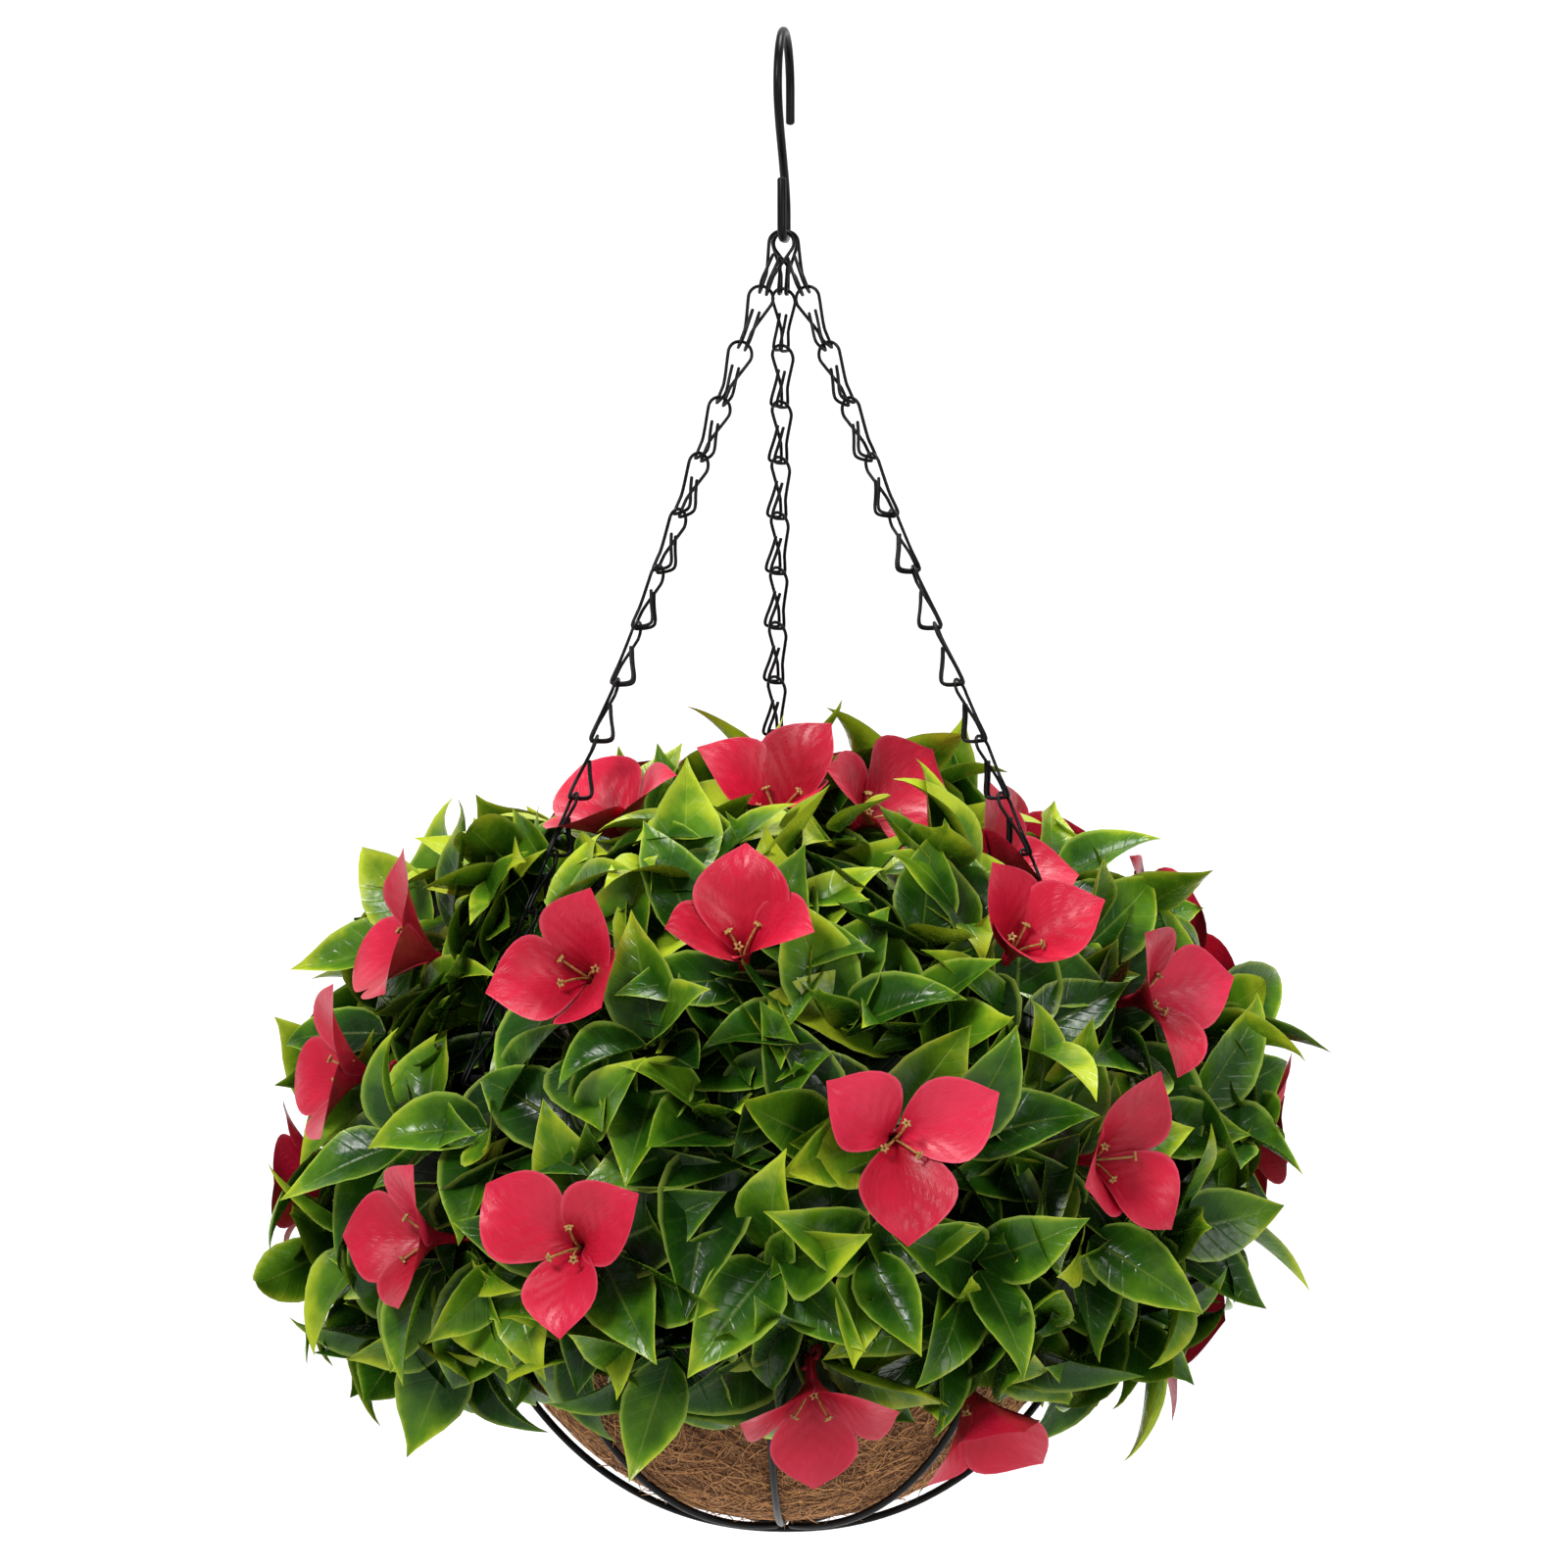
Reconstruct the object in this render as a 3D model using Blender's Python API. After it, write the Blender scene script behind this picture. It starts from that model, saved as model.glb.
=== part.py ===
"""Hanging basket: a wire ceiling hook, three chains of bent wire links, a round-bottomed
wire basket with a coir liner and a foam core, and the leaf and flower mass around it.

Metres, +Z up. The origin is the inside top of the ceiling hook, where the part is hung.
The camera side of the basket is -Y; azimuth 0 points to -Y and grows towards +X.
"""
import math

import bmesh
import bpy
import numpy as np
from mathutils import Vector

for old in list(bpy.data.objects):
    bpy.data.objects.remove(old, do_unlink=True)

# ---- driving sizes -------------------------------------------------------------
FIT_GAP = 0.0003            # clearance between pieces that touch

HOOK_WIRE = 0.0040          # diameter of the ceiling hook's wire
HOOK_TOP_RADIUS = 0.0250    # centre-line radius of the large upper bend
HOOK_HEIGHT = 0.0958        # overall height of the hook
HOOK_TIP_DROP = 0.0137      # straight end of the upper bend below its half circle
HOOK_EYE_FLAT = 0.0036      # half length of the straight bottom of the lower bend
HOOK_EYE_RADIUS = 0.0055    # centre-line radius of the lower bend's corners
HOOK_EYE_LIP = 0.0200       # straight front leg of the lower bend
HOOK_TURN = 6.4             # degrees from the hook's plane to the Y axis

LINKS_PER_CHAIN = 15
LINK_PITCH = 0.0270         # from one bow to the next along a chain
LINK_WIRE = 0.00145         # diameter of the link wire
BOW_RADIUS = 0.0055         # centre-line radius of a link's bow
LEG_SPREAD = 0.0016         # half distance between a link's two legs at the neck
NECK_SHARE = 0.74           # share of the pitch down which the sides taper to the neck
PRONG_SHARE = 0.44          # share of the pitch from the bow's top to the wire's ends
PRONG_SET = 0.0006          # how far inside the bow's plane the wire's ends stand
BAR_REACH = 0.0066          # how far a link's hooks reach inward
BOW_SPACING = 0.0032        # between the left and middle bows that share the hook
BACK_SPACING = 0.0036       # between the middle and back bows, which lean together

RIM_RADIUS = 0.1600         # centre-line radius of the basket's rim
RIM_WIRE = 0.0040
RIB_WIRE = 0.0034
BASKET_DEPTH = 0.2039       # rim to the middle of the crossed wires at the bottom
BOWL_POWER = 2.15           # 2 is half an ellipse; more has a flatter bottom
RIB_TURN = -3.0             # azimuth of the front rib, degrees
LINER_THICK = 0.0080
LINER_INSET = 0.0030        # from the ribs' inner side to the liner at the rim
LINER_BELOW_RIM = 0.0080    # height from the liner's top edge to the rim's centre

FOLIAGE_RADIUS = 0.2290     # widest reach of the leaf mass
FOLIAGE_RISE = 0.1440       # leaf mass above the rim
FOLIAGE_DROP = 0.1420       # leaf mass below the rim
CHAIN_SLOT = 0.0125         # half width of the parting in the leaves around a chain
CHAIN_AZIMUTHS = {"left": -57.7, "right": 62.3, "back": 182.3}

# ---- derived places ------------------------------------------------------------
HOOK_BOTTOM_Z = HOOK_WIRE - HOOK_HEIGHT + HOOK_WIRE / 2      # centre line of the eye's flat
HOOK_DIR = np.array([math.sin(math.radians(HOOK_TURN)), math.cos(math.radians(HOOK_TURN)), 0.0])
RIB_RADIUS = RIM_RADIUS - RIM_WIRE / 2 - RIB_WIRE / 2 - 2 * FIT_GAP
LEG_SET = LINK_WIRE + FIT_GAP + 0.00065    # leg's distance behind the bow that hangs in it
BAR_DROP = LINK_WIRE + FIT_GAP + 0.00070   # bar's distance under that bow
BAR_SLOPE = math.radians(18.0)
# the rim wire is fatter than a bow, so it sits a little higher and further in
RIM_SEAT_Y = RIM_WIRE / 2 + LINK_WIRE / 2 + FIT_GAP - LEG_SET + 0.0004
RIM_SEAT_UP = (RIM_WIRE / 2 + LINK_WIRE / 2 + FIT_GAP + 0.0001) / math.cos(BAR_SLOPE) \
    - BAR_DROP + RIM_SEAT_Y * math.tan(BAR_SLOPE)


def material(name, color, rough, metal=0.0):
    mat = bpy.data.materials.new(name)
    mat.use_nodes = True
    shader = mat.node_tree.nodes["Principled BSDF"]
    shader.inputs["Base Color"].default_value = (*color, 1.0)
    shader.inputs["Roughness"].default_value = rough
    shader.inputs["Metallic"].default_value = metal
    return mat


BLACK_WIRE = material("black_wire", (0.012, 0.012, 0.013), 0.35, 0.6)
COIR = material("coir", (0.36, 0.20, 0.10), 0.95)
FOAM = material("planting_foam", (0.06, 0.10, 0.04), 0.9)
LEAVES = material("leaf_mass", (0.09, 0.20, 0.04), 0.4)

pivot = bpy.data.objects.new("swing_pivot", None)
pivot.location = (0.0, 0.0, HOOK_BOTTOM_Z)
bpy.context.collection.objects.link(pivot)


def add_solid(name, verts, faces, mat, hangs=True):
    """Make one closed solid; the hanging ones are children of the swing pivot."""
    shift = np.array(pivot.location) if hangs else np.zeros(3)
    mesh = bpy.data.meshes.new(name)
    mesh.from_pydata((np.asarray(verts) - shift).tolist(), [], faces)
    work = bmesh.new()
    work.from_mesh(mesh)
    bmesh.ops.recalc_face_normals(work, faces=work.faces)
    work.to_mesh(mesh)
    work.free()
    mesh.materials.append(mat)
    obj = bpy.data.objects.new(name, mesh)
    bpy.context.collection.objects.link(obj)
    if hangs:
        obj.parent = pivot
    return obj


def ring_faces(rows, sides, closed):
    """Quads between successive rings of a tube, and its two end caps when it is open."""
    faces = []
    for i in range(rows if closed else rows - 1):
        a, b = i * sides, ((i + 1) % rows) * sides
        for j in range(sides):
            k = (j + 1) % sides
            faces.append((a + j, a + k, b + k, b + j))
    if not closed:
        faces.append(tuple(range(sides))[::-1])
        faces.append(tuple((rows - 1) * sides + j for j in range(sides)))
    return faces


def wire(points, diameter, sides, closed=False, up=(0.0, 0.0, 1.0)):
    """Sweep a round section along a line of points, with mitred corners."""
    pts = np.asarray(points, float)
    count = len(pts)
    if closed:
        before, after = np.roll(pts, 1, 0), np.roll(pts, -1, 0)
    else:
        before = np.vstack([pts[:1], pts[:-1]])
        after = np.vstack([pts[1:], pts[-1:]])
    run_in = pts - before
    run_out = after - pts
    if not closed:
        run_in[0], run_out[-1] = run_out[0], run_in[-1]
    run_in /= np.linalg.norm(run_in, axis=1)[:, None]
    run_out /= np.linalg.norm(run_out, axis=1)[:, None]
    along = run_in + run_out
    along /= np.linalg.norm(along, axis=1)[:, None]
    side = np.array(up, float)
    side -= side.dot(run_in[0]) * run_in[0]
    side /= np.linalg.norm(side)
    verts = []
    for i in range(count):
        side = side - side.dot(run_in[i]) * run_in[i]
        side /= np.linalg.norm(side)
        other = np.cross(run_in[i], side)
        for j in range(sides):
            a = 2 * math.pi * (j + 0.5) / sides
            spoke = (math.cos(a) * side + math.sin(a) * other) * diameter / 2
            # slide the corner along the incoming run until it meets the mitre plane
            spoke = spoke - run_in[i] * (spoke.dot(along[i]) / run_in[i].dot(along[i]))
            verts.append(pts[i] + spoke)
        turn = np.cross(run_in[i], run_out[i])
        if np.linalg.norm(turn) > 1e-9:
            axis = turn / np.linalg.norm(turn)
            ang = math.atan2(np.linalg.norm(turn), run_in[i].dot(run_out[i]))
            side = (side * math.cos(ang) + np.cross(axis, side) * math.sin(ang)
                    + axis * axis.dot(side) * (1 - math.cos(ang)))
    return verts, ring_faces(count, sides, closed)


def arc(cx, cz, radius, start, stop, steps):
    """Points of a circular arc in a (u, z) plane, angles in degrees from +u towards +z."""
    angles = np.radians(np.linspace(start, stop, steps + 1))
    return [(cx + radius * math.cos(a), cz + radius * math.sin(a)) for a in angles]


def build_hook():
    """One bent wire: a large upper bend, a slanting shank and a small lower eye."""
    top_z = HOOK_WIRE / 2 - HOOK_TOP_RADIUS
    low_z = HOOK_BOTTOM_Z + HOOK_EYE_RADIUS
    line = [(HOOK_TOP_RADIUS, top_z - HOOK_TIP_DROP)]
    line += arc(0.0, top_z, HOOK_TOP_RADIUS, 0, 180, 14)
    # the shank leaves the upper bend, slants across and runs into the eye's back corner
    back = HOOK_EYE_FLAT + HOOK_EYE_RADIUS
    shank = low_z + 0.0050
    start, stop = np.array(line[-1]), np.array([back, shank])
    for t in np.linspace(0.08, 1.0, 9):
        ease = t * t * (3 - 2 * t)
        line.append((start[0] + (stop[0] - start[0]) * ease, start[1] + (stop[1] - start[1]) * t))
    line += arc(HOOK_EYE_FLAT, low_z, HOOK_EYE_RADIUS, 0, -90, 5)
    line += arc(-HOOK_EYE_FLAT, low_z, HOOK_EYE_RADIUS, -90, -180, 5)
    line.append((-back, low_z + HOOK_EYE_LIP))
    pts = [(u * HOOK_DIR[0], u * HOOK_DIR[1], z) for u, z in line]
    verts, faces = wire(pts, HOOK_WIRE, 10, up=(-HOOK_DIR[1], HOOK_DIR[0], 0.0))
    add_solid("ceiling_hook", verts, faces, BLACK_WIRE, hangs=False)


def link_line():
    """Centre line of one link in its own frame: x across, y inward, z up the chain.

    The bow's top is at the origin and the next bow hangs at z = -LINK_PITCH.
    """
    neck = -NECK_SHARE * LINK_PITCH
    leg_foot = -LEG_SET
    bar_z = -LINK_PITCH - BAR_DROP
    end_y, rise = BAR_REACH, math.tan(BAR_SLOPE)
    half = [
        (PRONG_SET, -PRONG_SHARE * LINK_PITCH),
        (end_y + 0.0002, bar_z + end_y * rise + 0.0024),
        (end_y - 0.0006, bar_z + end_y * rise + 0.0001),
        (leg_foot + 0.0012, bar_z + (leg_foot + 0.0012) * rise),
        (leg_foot, bar_z + leg_foot * rise + 0.0012),
        (leg_foot * 0.7, neck),
    ]
    right = [(LEG_SPREAD, y, z) for y, z in half]
    bow = [(BOW_RADIUS * math.cos(a), 0.0, BOW_RADIUS * (math.sin(a) - 1))
           for a in np.radians([-14, 20, 55, 90, 125, 160, 194])]
    left = [(-x, y, z) for x, y, z in reversed(right)]
    return np.array(right + bow + left)


def chain_frames(azimuth, hook_offset, start_twist, untwist_at, bump):
    """Place every link of one chain: (origin, x axis, y axis, z axis) from hook to rim."""
    az = math.radians(azimuth)
    out = np.array([math.sin(az), -math.cos(az), 0.0])
    eye = hook_offset * HOOK_DIR + np.array([0, 0, HOOK_BOTTOM_Z])
    seat = out * RIM_RADIUS + np.array([0, 0, RIM_Z])
    down = seat - eye
    for _ in range(4):
        down = down / np.linalg.norm(down)
        lean = math.sqrt(1 - HOOK_DIR.dot(down) ** 2)
        top = eye - down * (HOOK_WIRE / 2 + LINK_WIRE / 2 + FIT_GAP) / lean
        inward = -out + out.dot(down) * down
        inward /= np.linalg.norm(inward)
        down = seat - top - inward * RIM_SEAT_Y
    length = np.linalg.norm(down)
    down = down / length
    pitch = (length - LINK_PITCH + RIM_SEAT_UP) / (LINKS_PER_CHAIN - 1)
    # the first bow lies across the hook wire, the last link's hooks face the basket's axis
    first = -HOOK_DIR + HOOK_DIR.dot(down) * down
    first /= np.linalg.norm(first)
    turn = math.atan2(np.cross(inward, first).dot(down), inward.dot(first))
    frames = []
    for n in range(LINKS_PER_CHAIN):
        left_over = max(0.0, 1.0 - n / untwist_at)
        swell = bump * max(0.0, math.sin(math.pi * n / (LINKS_PER_CHAIN - 1))) ** 0.6
        a = turn * left_over * start_twist + math.radians(swell)
        y = inward * math.cos(a) + np.cross(down, inward) * math.sin(a)
        frames.append((top + down * pitch * n, np.cross(y, -down), y, -down))
    return frames


def rim_height():
    """Rim level that makes the three chains taut: their mean over the hook's three seats."""
    reach = (LINKS_PER_CHAIN - 1) * LINK_PITCH + LINK_PITCH - RIM_SEAT_UP
    reach -= HOOK_WIRE / 2 + LINK_WIRE / 2 + FIT_GAP
    return HOOK_BOTTOM_Z - math.sqrt(reach ** 2 - (RIM_RADIUS - 0.5 * BOW_SPACING) ** 2)


RIM_Z = rim_height()


def build_chains():
    """Three chains of equal bent-wire links, each hooked over the bow of the next one."""
    line = link_line()
    layout = {
        "left": (-BOW_SPACING, 1.0, 11.5, 0.0),
        "right": (0.0, 1.0, 8.5, 0.0),
        "back": (BACK_SPACING, 1.0, 10.0, 46.0),
    }
    for side, (offset, start, untwist, bump) in layout.items():
        places = chain_frames(CHAIN_AZIMUTHS[side], offset, start, untwist, bump)
        for n, (origin, x, y, z) in enumerate(places, 1):
            pts = origin + line @ np.array([x, y, z])
            verts, faces = wire(pts, LINK_WIRE, 5, up=x)
            add_solid(f"link_{side}_{n:02d}", verts, faces, BLACK_WIRE)


def build_rim():
    angles = np.radians(np.arange(0, 360, 5.625))
    pts = [(RIM_RADIUS * math.sin(a), -RIM_RADIUS * math.cos(a), RIM_Z) for a in angles]
    verts, faces = wire(pts, RIM_WIRE, 6, closed=True)
    add_solid("basket_rim", verts, faces, BLACK_WIRE)


def bowl_point(radius, depth, t):
    """(radius, drop) on the bowl's section: t is 0 at the rim and 90 degrees at the bottom."""
    power = 2.0 / BOWL_POWER
    return radius * max(0.0, math.cos(t)) ** power, depth * math.sin(t) ** power


def rib_half(azimuth, depth, last):
    """Centre line of one rib from its weld inside the rim down to angle last."""
    out = np.array([math.sin(azimuth), -math.cos(azimuth), 0.0])
    pts = [out * RIB_RADIUS + np.array([0, 0, RIM_Z + RIM_WIRE / 2])]
    for t in np.radians(np.linspace(0, last, 17)):
        r, drop = bowl_point(RIB_RADIUS, depth, t)
        pts.append(out * r + np.array([0, 0, RIM_Z - drop]))
    return pts


def build_ribs():
    """Two whole hoops that cross below, and four half ribs welded beside their crossing."""
    step = (RIB_WIRE + FIT_GAP) / 2
    for name, turn, depth in (("front_back", 0, BASKET_DEPTH - step),
                              ("left_right", 90, BASKET_DEPTH + step)):
        az = math.radians(RIB_TURN + turn)
        down = rib_half(az, depth, 90)
        up = rib_half(az + math.pi, depth, 90)[:-1]
        verts, faces = wire(down + up[::-1], RIB_WIRE, 6, up=(math.cos(az), math.sin(az), 0))
        add_solid(f"basket_hoop_{name}", verts, faces, BLACK_WIRE)
    # a half rib stops where its side would meet the two crossing wires
    stop = math.sqrt(3) * step * math.sqrt(2) / RIB_RADIUS
    last = math.degrees(math.acos(stop ** (BOWL_POWER / 2)))
    for turn in (45, 135, 225, 315):
        az = math.radians(RIB_TURN + turn)
        pts = rib_half(az, BASKET_DEPTH, last)
        verts, faces = wire(pts, RIB_WIRE, 6, up=(math.cos(az), math.sin(az), 0))
        add_solid(f"basket_rib_{turn:03d}", verts, faces, BLACK_WIRE)


def turned(name, profile, mat, steps=40):
    """Turn a closed (radius, height) outline about Z; points on the axis become one vertex."""
    verts, rings = [], []
    for r, z in profile:
        if r < 1e-7:
            rings.append([len(verts)] * steps)
            verts.append((0.0, 0.0, z))
        else:
            rings.append(list(range(len(verts), len(verts) + steps)))
            for a in np.linspace(0, 2 * math.pi, steps, endpoint=False):
                verts.append((r * math.cos(a), r * math.sin(a), z))
    faces = []
    for a, b in zip(rings, rings[1:] + rings[:1]):
        for j in range(steps):
            k = (j + 1) % steps
            face = list(dict.fromkeys((a[j], a[k], b[k], b[j])))
            if len(face) > 2:
                faces.append(face)
    return add_solid(name, verts, faces, mat)


def bowl_outline(radius, depth, top_z, steps):
    """The bowl's section, cut at top_z: (radius, height) from the edge to the axis."""
    start = math.asin(max(0.0, (RIM_Z - top_z) / depth) ** (BOWL_POWER / 2))
    line = []
    for t in np.linspace(start, math.pi / 2, steps):
        r, drop = bowl_point(radius, depth, t)
        line.append((r, RIM_Z - drop))
    line[-1] = (0.0, line[-1][1])
    return line


LINER_RADIUS = RIB_RADIUS - RIB_WIRE / 2 - LINER_INSET
LINER_DEPTH = BASKET_DEPTH - (RIB_WIRE + FIT_GAP) / 2 - RIB_WIRE / 2 - 3 * FIT_GAP
LINER_TOP_Z = RIM_Z - LINER_BELOW_RIM


def build_liner():
    outer = bowl_outline(LINER_RADIUS, LINER_DEPTH, LINER_TOP_Z, 14)
    inner = bowl_outline(LINER_RADIUS - LINER_THICK, LINER_DEPTH - LINER_THICK, LINER_TOP_Z, 12)
    turned("coir_liner", outer + inner[::-1], COIR)


def build_core():
    gap = LINER_THICK + 2.5 * FIT_GAP
    bowl = bowl_outline(LINER_RADIUS - gap, LINER_DEPTH - gap, LINER_TOP_Z, 12)
    turned("foam_core", bowl + [(0.0, LINER_TOP_Z)], FOAM)


def chain_radius(z):
    """How far from the axis the chains run at a height."""
    return RIM_RADIUS * (HOOK_BOTTOM_Z - z) / (HOOK_BOTTOM_Z - RIM_Z)


def crown_radius(z):
    return chain_radius(z) - 0.0125


def build_crown():
    """The leaves inside the cone of the chains, on top of the foam."""
    low, top = LINER_TOP_Z + FIT_GAP, RIM_Z + FOLIAGE_RISE
    waist = RIM_Z + 0.012
    shoulder = top - 0.16 * FOLIAGE_RISE
    wide = crown_radius(shoulder)
    line = [(0.0, low), (LINER_RADIUS - LINER_THICK, low), (crown_radius(waist), waist)]
    line += [(crown_radius(z), z) for z in np.linspace(waist, shoulder, 5)[1:]]
    line += [(wide * 0.80, top - 0.06 * FOLIAGE_RISE), (wide * 0.45, top - 0.01 * FOLIAGE_RISE),
             (0.0, top)]
    turned("foliage_crown", line, LEAVES, 36)


def side_outline():
    """Section of the leaves that spill over the rim: (radius, height), outer side first."""
    r, up, down = FOLIAGE_RADIUS, FOLIAGE_RISE, FOLIAGE_DROP
    crest = RIM_Z + 0.90 * up
    outer = [(crown_radius(crest) + 0.016, crest), (0.61 * r, RIM_Z + 0.84 * up),
             (0.74 * r, RIM_Z + 0.67 * up), (0.87 * r, RIM_Z + 0.43 * up),
             (0.96 * r, RIM_Z + 0.12 * up), (r, RIM_Z - 0.24 * down),
             (r, RIM_Z - 0.66 * down), (0.93 * r, RIM_Z - 0.86 * down),
             (0.81 * r, RIM_Z - 0.96 * down), (0.70 * r, RIM_Z - down)]
    deep = BASKET_DEPTH + RIB_WIRE + FIT_GAP + 0.0020
    wide = RIM_RADIUS + RIM_WIRE / 2 + 0.0015
    skirt = [(wide * (1 - (d / deep) ** BOWL_POWER) ** (1 / BOWL_POWER), RIM_Z - d)
             for d in np.linspace(min(0.90 * down, 0.9 * deep), 0.06 * deep, 7)]
    over = RIM_Z + RIM_WIRE / 2 + 0.0030
    inner = [(wide + 0.0005, over), (crown_radius(over) + 0.0040, over + 0.0040)]
    inner += [(crown_radius(z) + 3.0 * FIT_GAP, z)
              for z in (RIM_Z + 0.014, RIM_Z + 0.45 * up, RIM_Z + 0.78 * up)]
    return outer + skirt + inner


def build_sides():
    """Three blocks of leaves over the rim, parted where the chains come down."""
    line = side_outline()
    names = {"front": ("left", "right"), "right": ("right", "back"), "left": ("back", "left")}
    steps = 13
    for side, (first, last) in names.items():
        a0, a1 = CHAIN_AZIMUTHS[first], CHAIN_AZIMUTHS[last]
        a1 += 360.0 if a1 < a0 else 0.0
        verts = []
        for t in np.linspace(0, 1, steps):
            for r, z in line:
                part = math.degrees(math.asin(min(0.9, CHAIN_SLOT / r)))
                a = math.radians(a0 + part + (a1 - a0 - 2 * part) * t)
                verts.append((r * math.sin(a), -r * math.cos(a), z))
        faces = ring_faces(steps, len(line), closed=False)
        add_solid(f"foliage_{side}", verts, faces, LEAVES)


build_hook()
build_chains()
build_rim()
build_ribs()
build_liner()
build_core()
build_crown()
build_sides()
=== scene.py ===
import bpy
import numpy as np
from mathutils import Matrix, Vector


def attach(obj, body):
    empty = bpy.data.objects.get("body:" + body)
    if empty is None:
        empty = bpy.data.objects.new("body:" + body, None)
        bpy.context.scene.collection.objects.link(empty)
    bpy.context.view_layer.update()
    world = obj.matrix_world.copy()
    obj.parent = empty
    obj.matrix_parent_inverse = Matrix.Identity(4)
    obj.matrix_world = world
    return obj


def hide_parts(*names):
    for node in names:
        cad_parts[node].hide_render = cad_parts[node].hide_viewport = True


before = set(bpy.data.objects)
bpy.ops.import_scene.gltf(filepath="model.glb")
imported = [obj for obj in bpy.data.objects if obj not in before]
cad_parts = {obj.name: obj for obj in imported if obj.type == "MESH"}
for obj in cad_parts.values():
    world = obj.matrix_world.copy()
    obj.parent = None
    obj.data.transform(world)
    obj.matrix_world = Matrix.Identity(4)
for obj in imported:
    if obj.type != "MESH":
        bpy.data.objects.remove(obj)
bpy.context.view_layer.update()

# ---- Ceiling hook ----------------------------------------------------------------
# One length of 4 mm steel wire, bent on a former into an open top bend, a slanting
# shank and a small lower eye, then dipped in black enamel.

HOOK_TURN = np.radians(6.4)
HOOK_DIR = np.array([np.sin(HOOK_TURN), np.cos(HOOK_TURN), 0.0])
HOOK_HALF = 0.0020
BEND_RADIUS, BEND_Z, TIP_LENGTH = 0.025, -0.0230, 0.0137
EYE_Z, EYE_HALF, EYE_FLAT, EYE_CORNER, EYE_TALL = -0.0898, 0.0091, 0.0036, 0.0055, 0.020


def unit(v):
    """Vectors scaled to length one."""
    return v / np.maximum(np.linalg.norm(v, axis=-1), 1e-12)[..., None]


def outward(azimuth):
    """Level directions away from the axis: 0 to the front, pi/2 to the right."""
    return np.stack([np.sin(azimuth), -np.cos(azimuth), 0 * azimuth], -1)


def node(tree, kind, settings=None, **inputs):
    """Add a shader node; inputs are values or the sockets that feed them, called by their
    name or, as i0, i1 and so on, by their number."""
    made = tree.nodes.new(kind)
    for key, value in (settings or {}).items():
        setattr(made, key, value)
    for key, value in inputs.items():
        socket = made.inputs[int(key[1:]) if key[0] == "i" else key]
        if isinstance(value, bpy.types.NodeSocket):
            tree.links.new(value, socket)
        else:
            socket.default_value = value
    return made


def ramp(tree, fac, stops):
    """A colour ramp with (position, colour) stops."""
    made = node(tree, "ShaderNodeValToRGB", Fac=fac)
    bar = made.color_ramp
    while len(bar.elements) < len(stops):
        bar.elements.new(0.5)
    for element, (place, colour) in zip(bar.elements, stops):
        element.position, element.color = place, (*colour, 1.0)
    return made.outputs["Color"]


def new_material(name):
    """A node material, its tree and its shader."""
    mat = bpy.data.materials.new(name)
    mat.use_nodes = True
    tree = mat.node_tree
    return mat, tree, tree.nodes["Principled BSDF"]


def noise(tree, place, scale, detail):
    """A noise texture at the place's scale."""
    return node(tree, "ShaderNodeTexNoise", Vector=place, Scale=scale,
                Detail=detail).outputs["Fac"]


def dress(tree, shader, colour, rough, height, strength, distance):
    """Join a colour and a bump to the shader; rough is a value or a socket."""
    tree.links.new(colour, shader.inputs["Base Color"])
    if isinstance(rough, float):
        shader.inputs["Roughness"].default_value = rough
    else:
        tree.links.new(rough, shader.inputs["Roughness"])
    bump = node(tree, "ShaderNodeBump", Strength=strength, Distance=distance, Height=height)
    tree.links.new(bump.outputs["Normal"], shader.inputs["Normal"])


def enamel_material():
    """Black enamel on wire: thin orange peel in the bump, cloudy shade and gloss."""
    mat, tree, shader = new_material("black_enamel")
    place = node(tree, "ShaderNodeTexCoord").outputs["Object"]
    cloud, peel = noise(tree, place, 70.0, 4.0), noise(tree, place, 900.0, 2.0)
    shade = ramp(tree, cloud, [(0.35, (0.003, 0.003, 0.003)), (0.75, (0.010, 0.010, 0.011))])
    gloss = node(tree, "ShaderNodeMapRange", Value=cloud, i1=0.3, i2=0.7, i3=0.26, i4=0.40)
    dress(tree, shader, shade, gloss.outputs[0], peel, 0.12, 0.0003)
    shader.inputs["Specular IOR Level"].default_value = 0.12
    return mat


ENAMEL = enamel_material()


def ring_quads(rings, sides, closed=False):
    """Quads between neighbouring rings, and each corner's side and ring number. A closed
    run joins its last ring to its first."""
    rows = rings if closed else rings - 1
    i, j = np.meshgrid(np.arange(rows), np.arange(sides), indexing="ij")
    i2, j2 = (i + 1) % rings, (j + 1) % sides
    quads = np.stack([i * sides + j, i * sides + j2, i2 * sides + j2, i2 * sides + j], -1)
    across = np.stack([j, j + 1, j + 1, j], -1)
    along = np.stack([i, i, i + 1, i + 1], -1)
    return quads.reshape(-1, 4), across.reshape(-1, 4), along.reshape(-1, 4)


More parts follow.
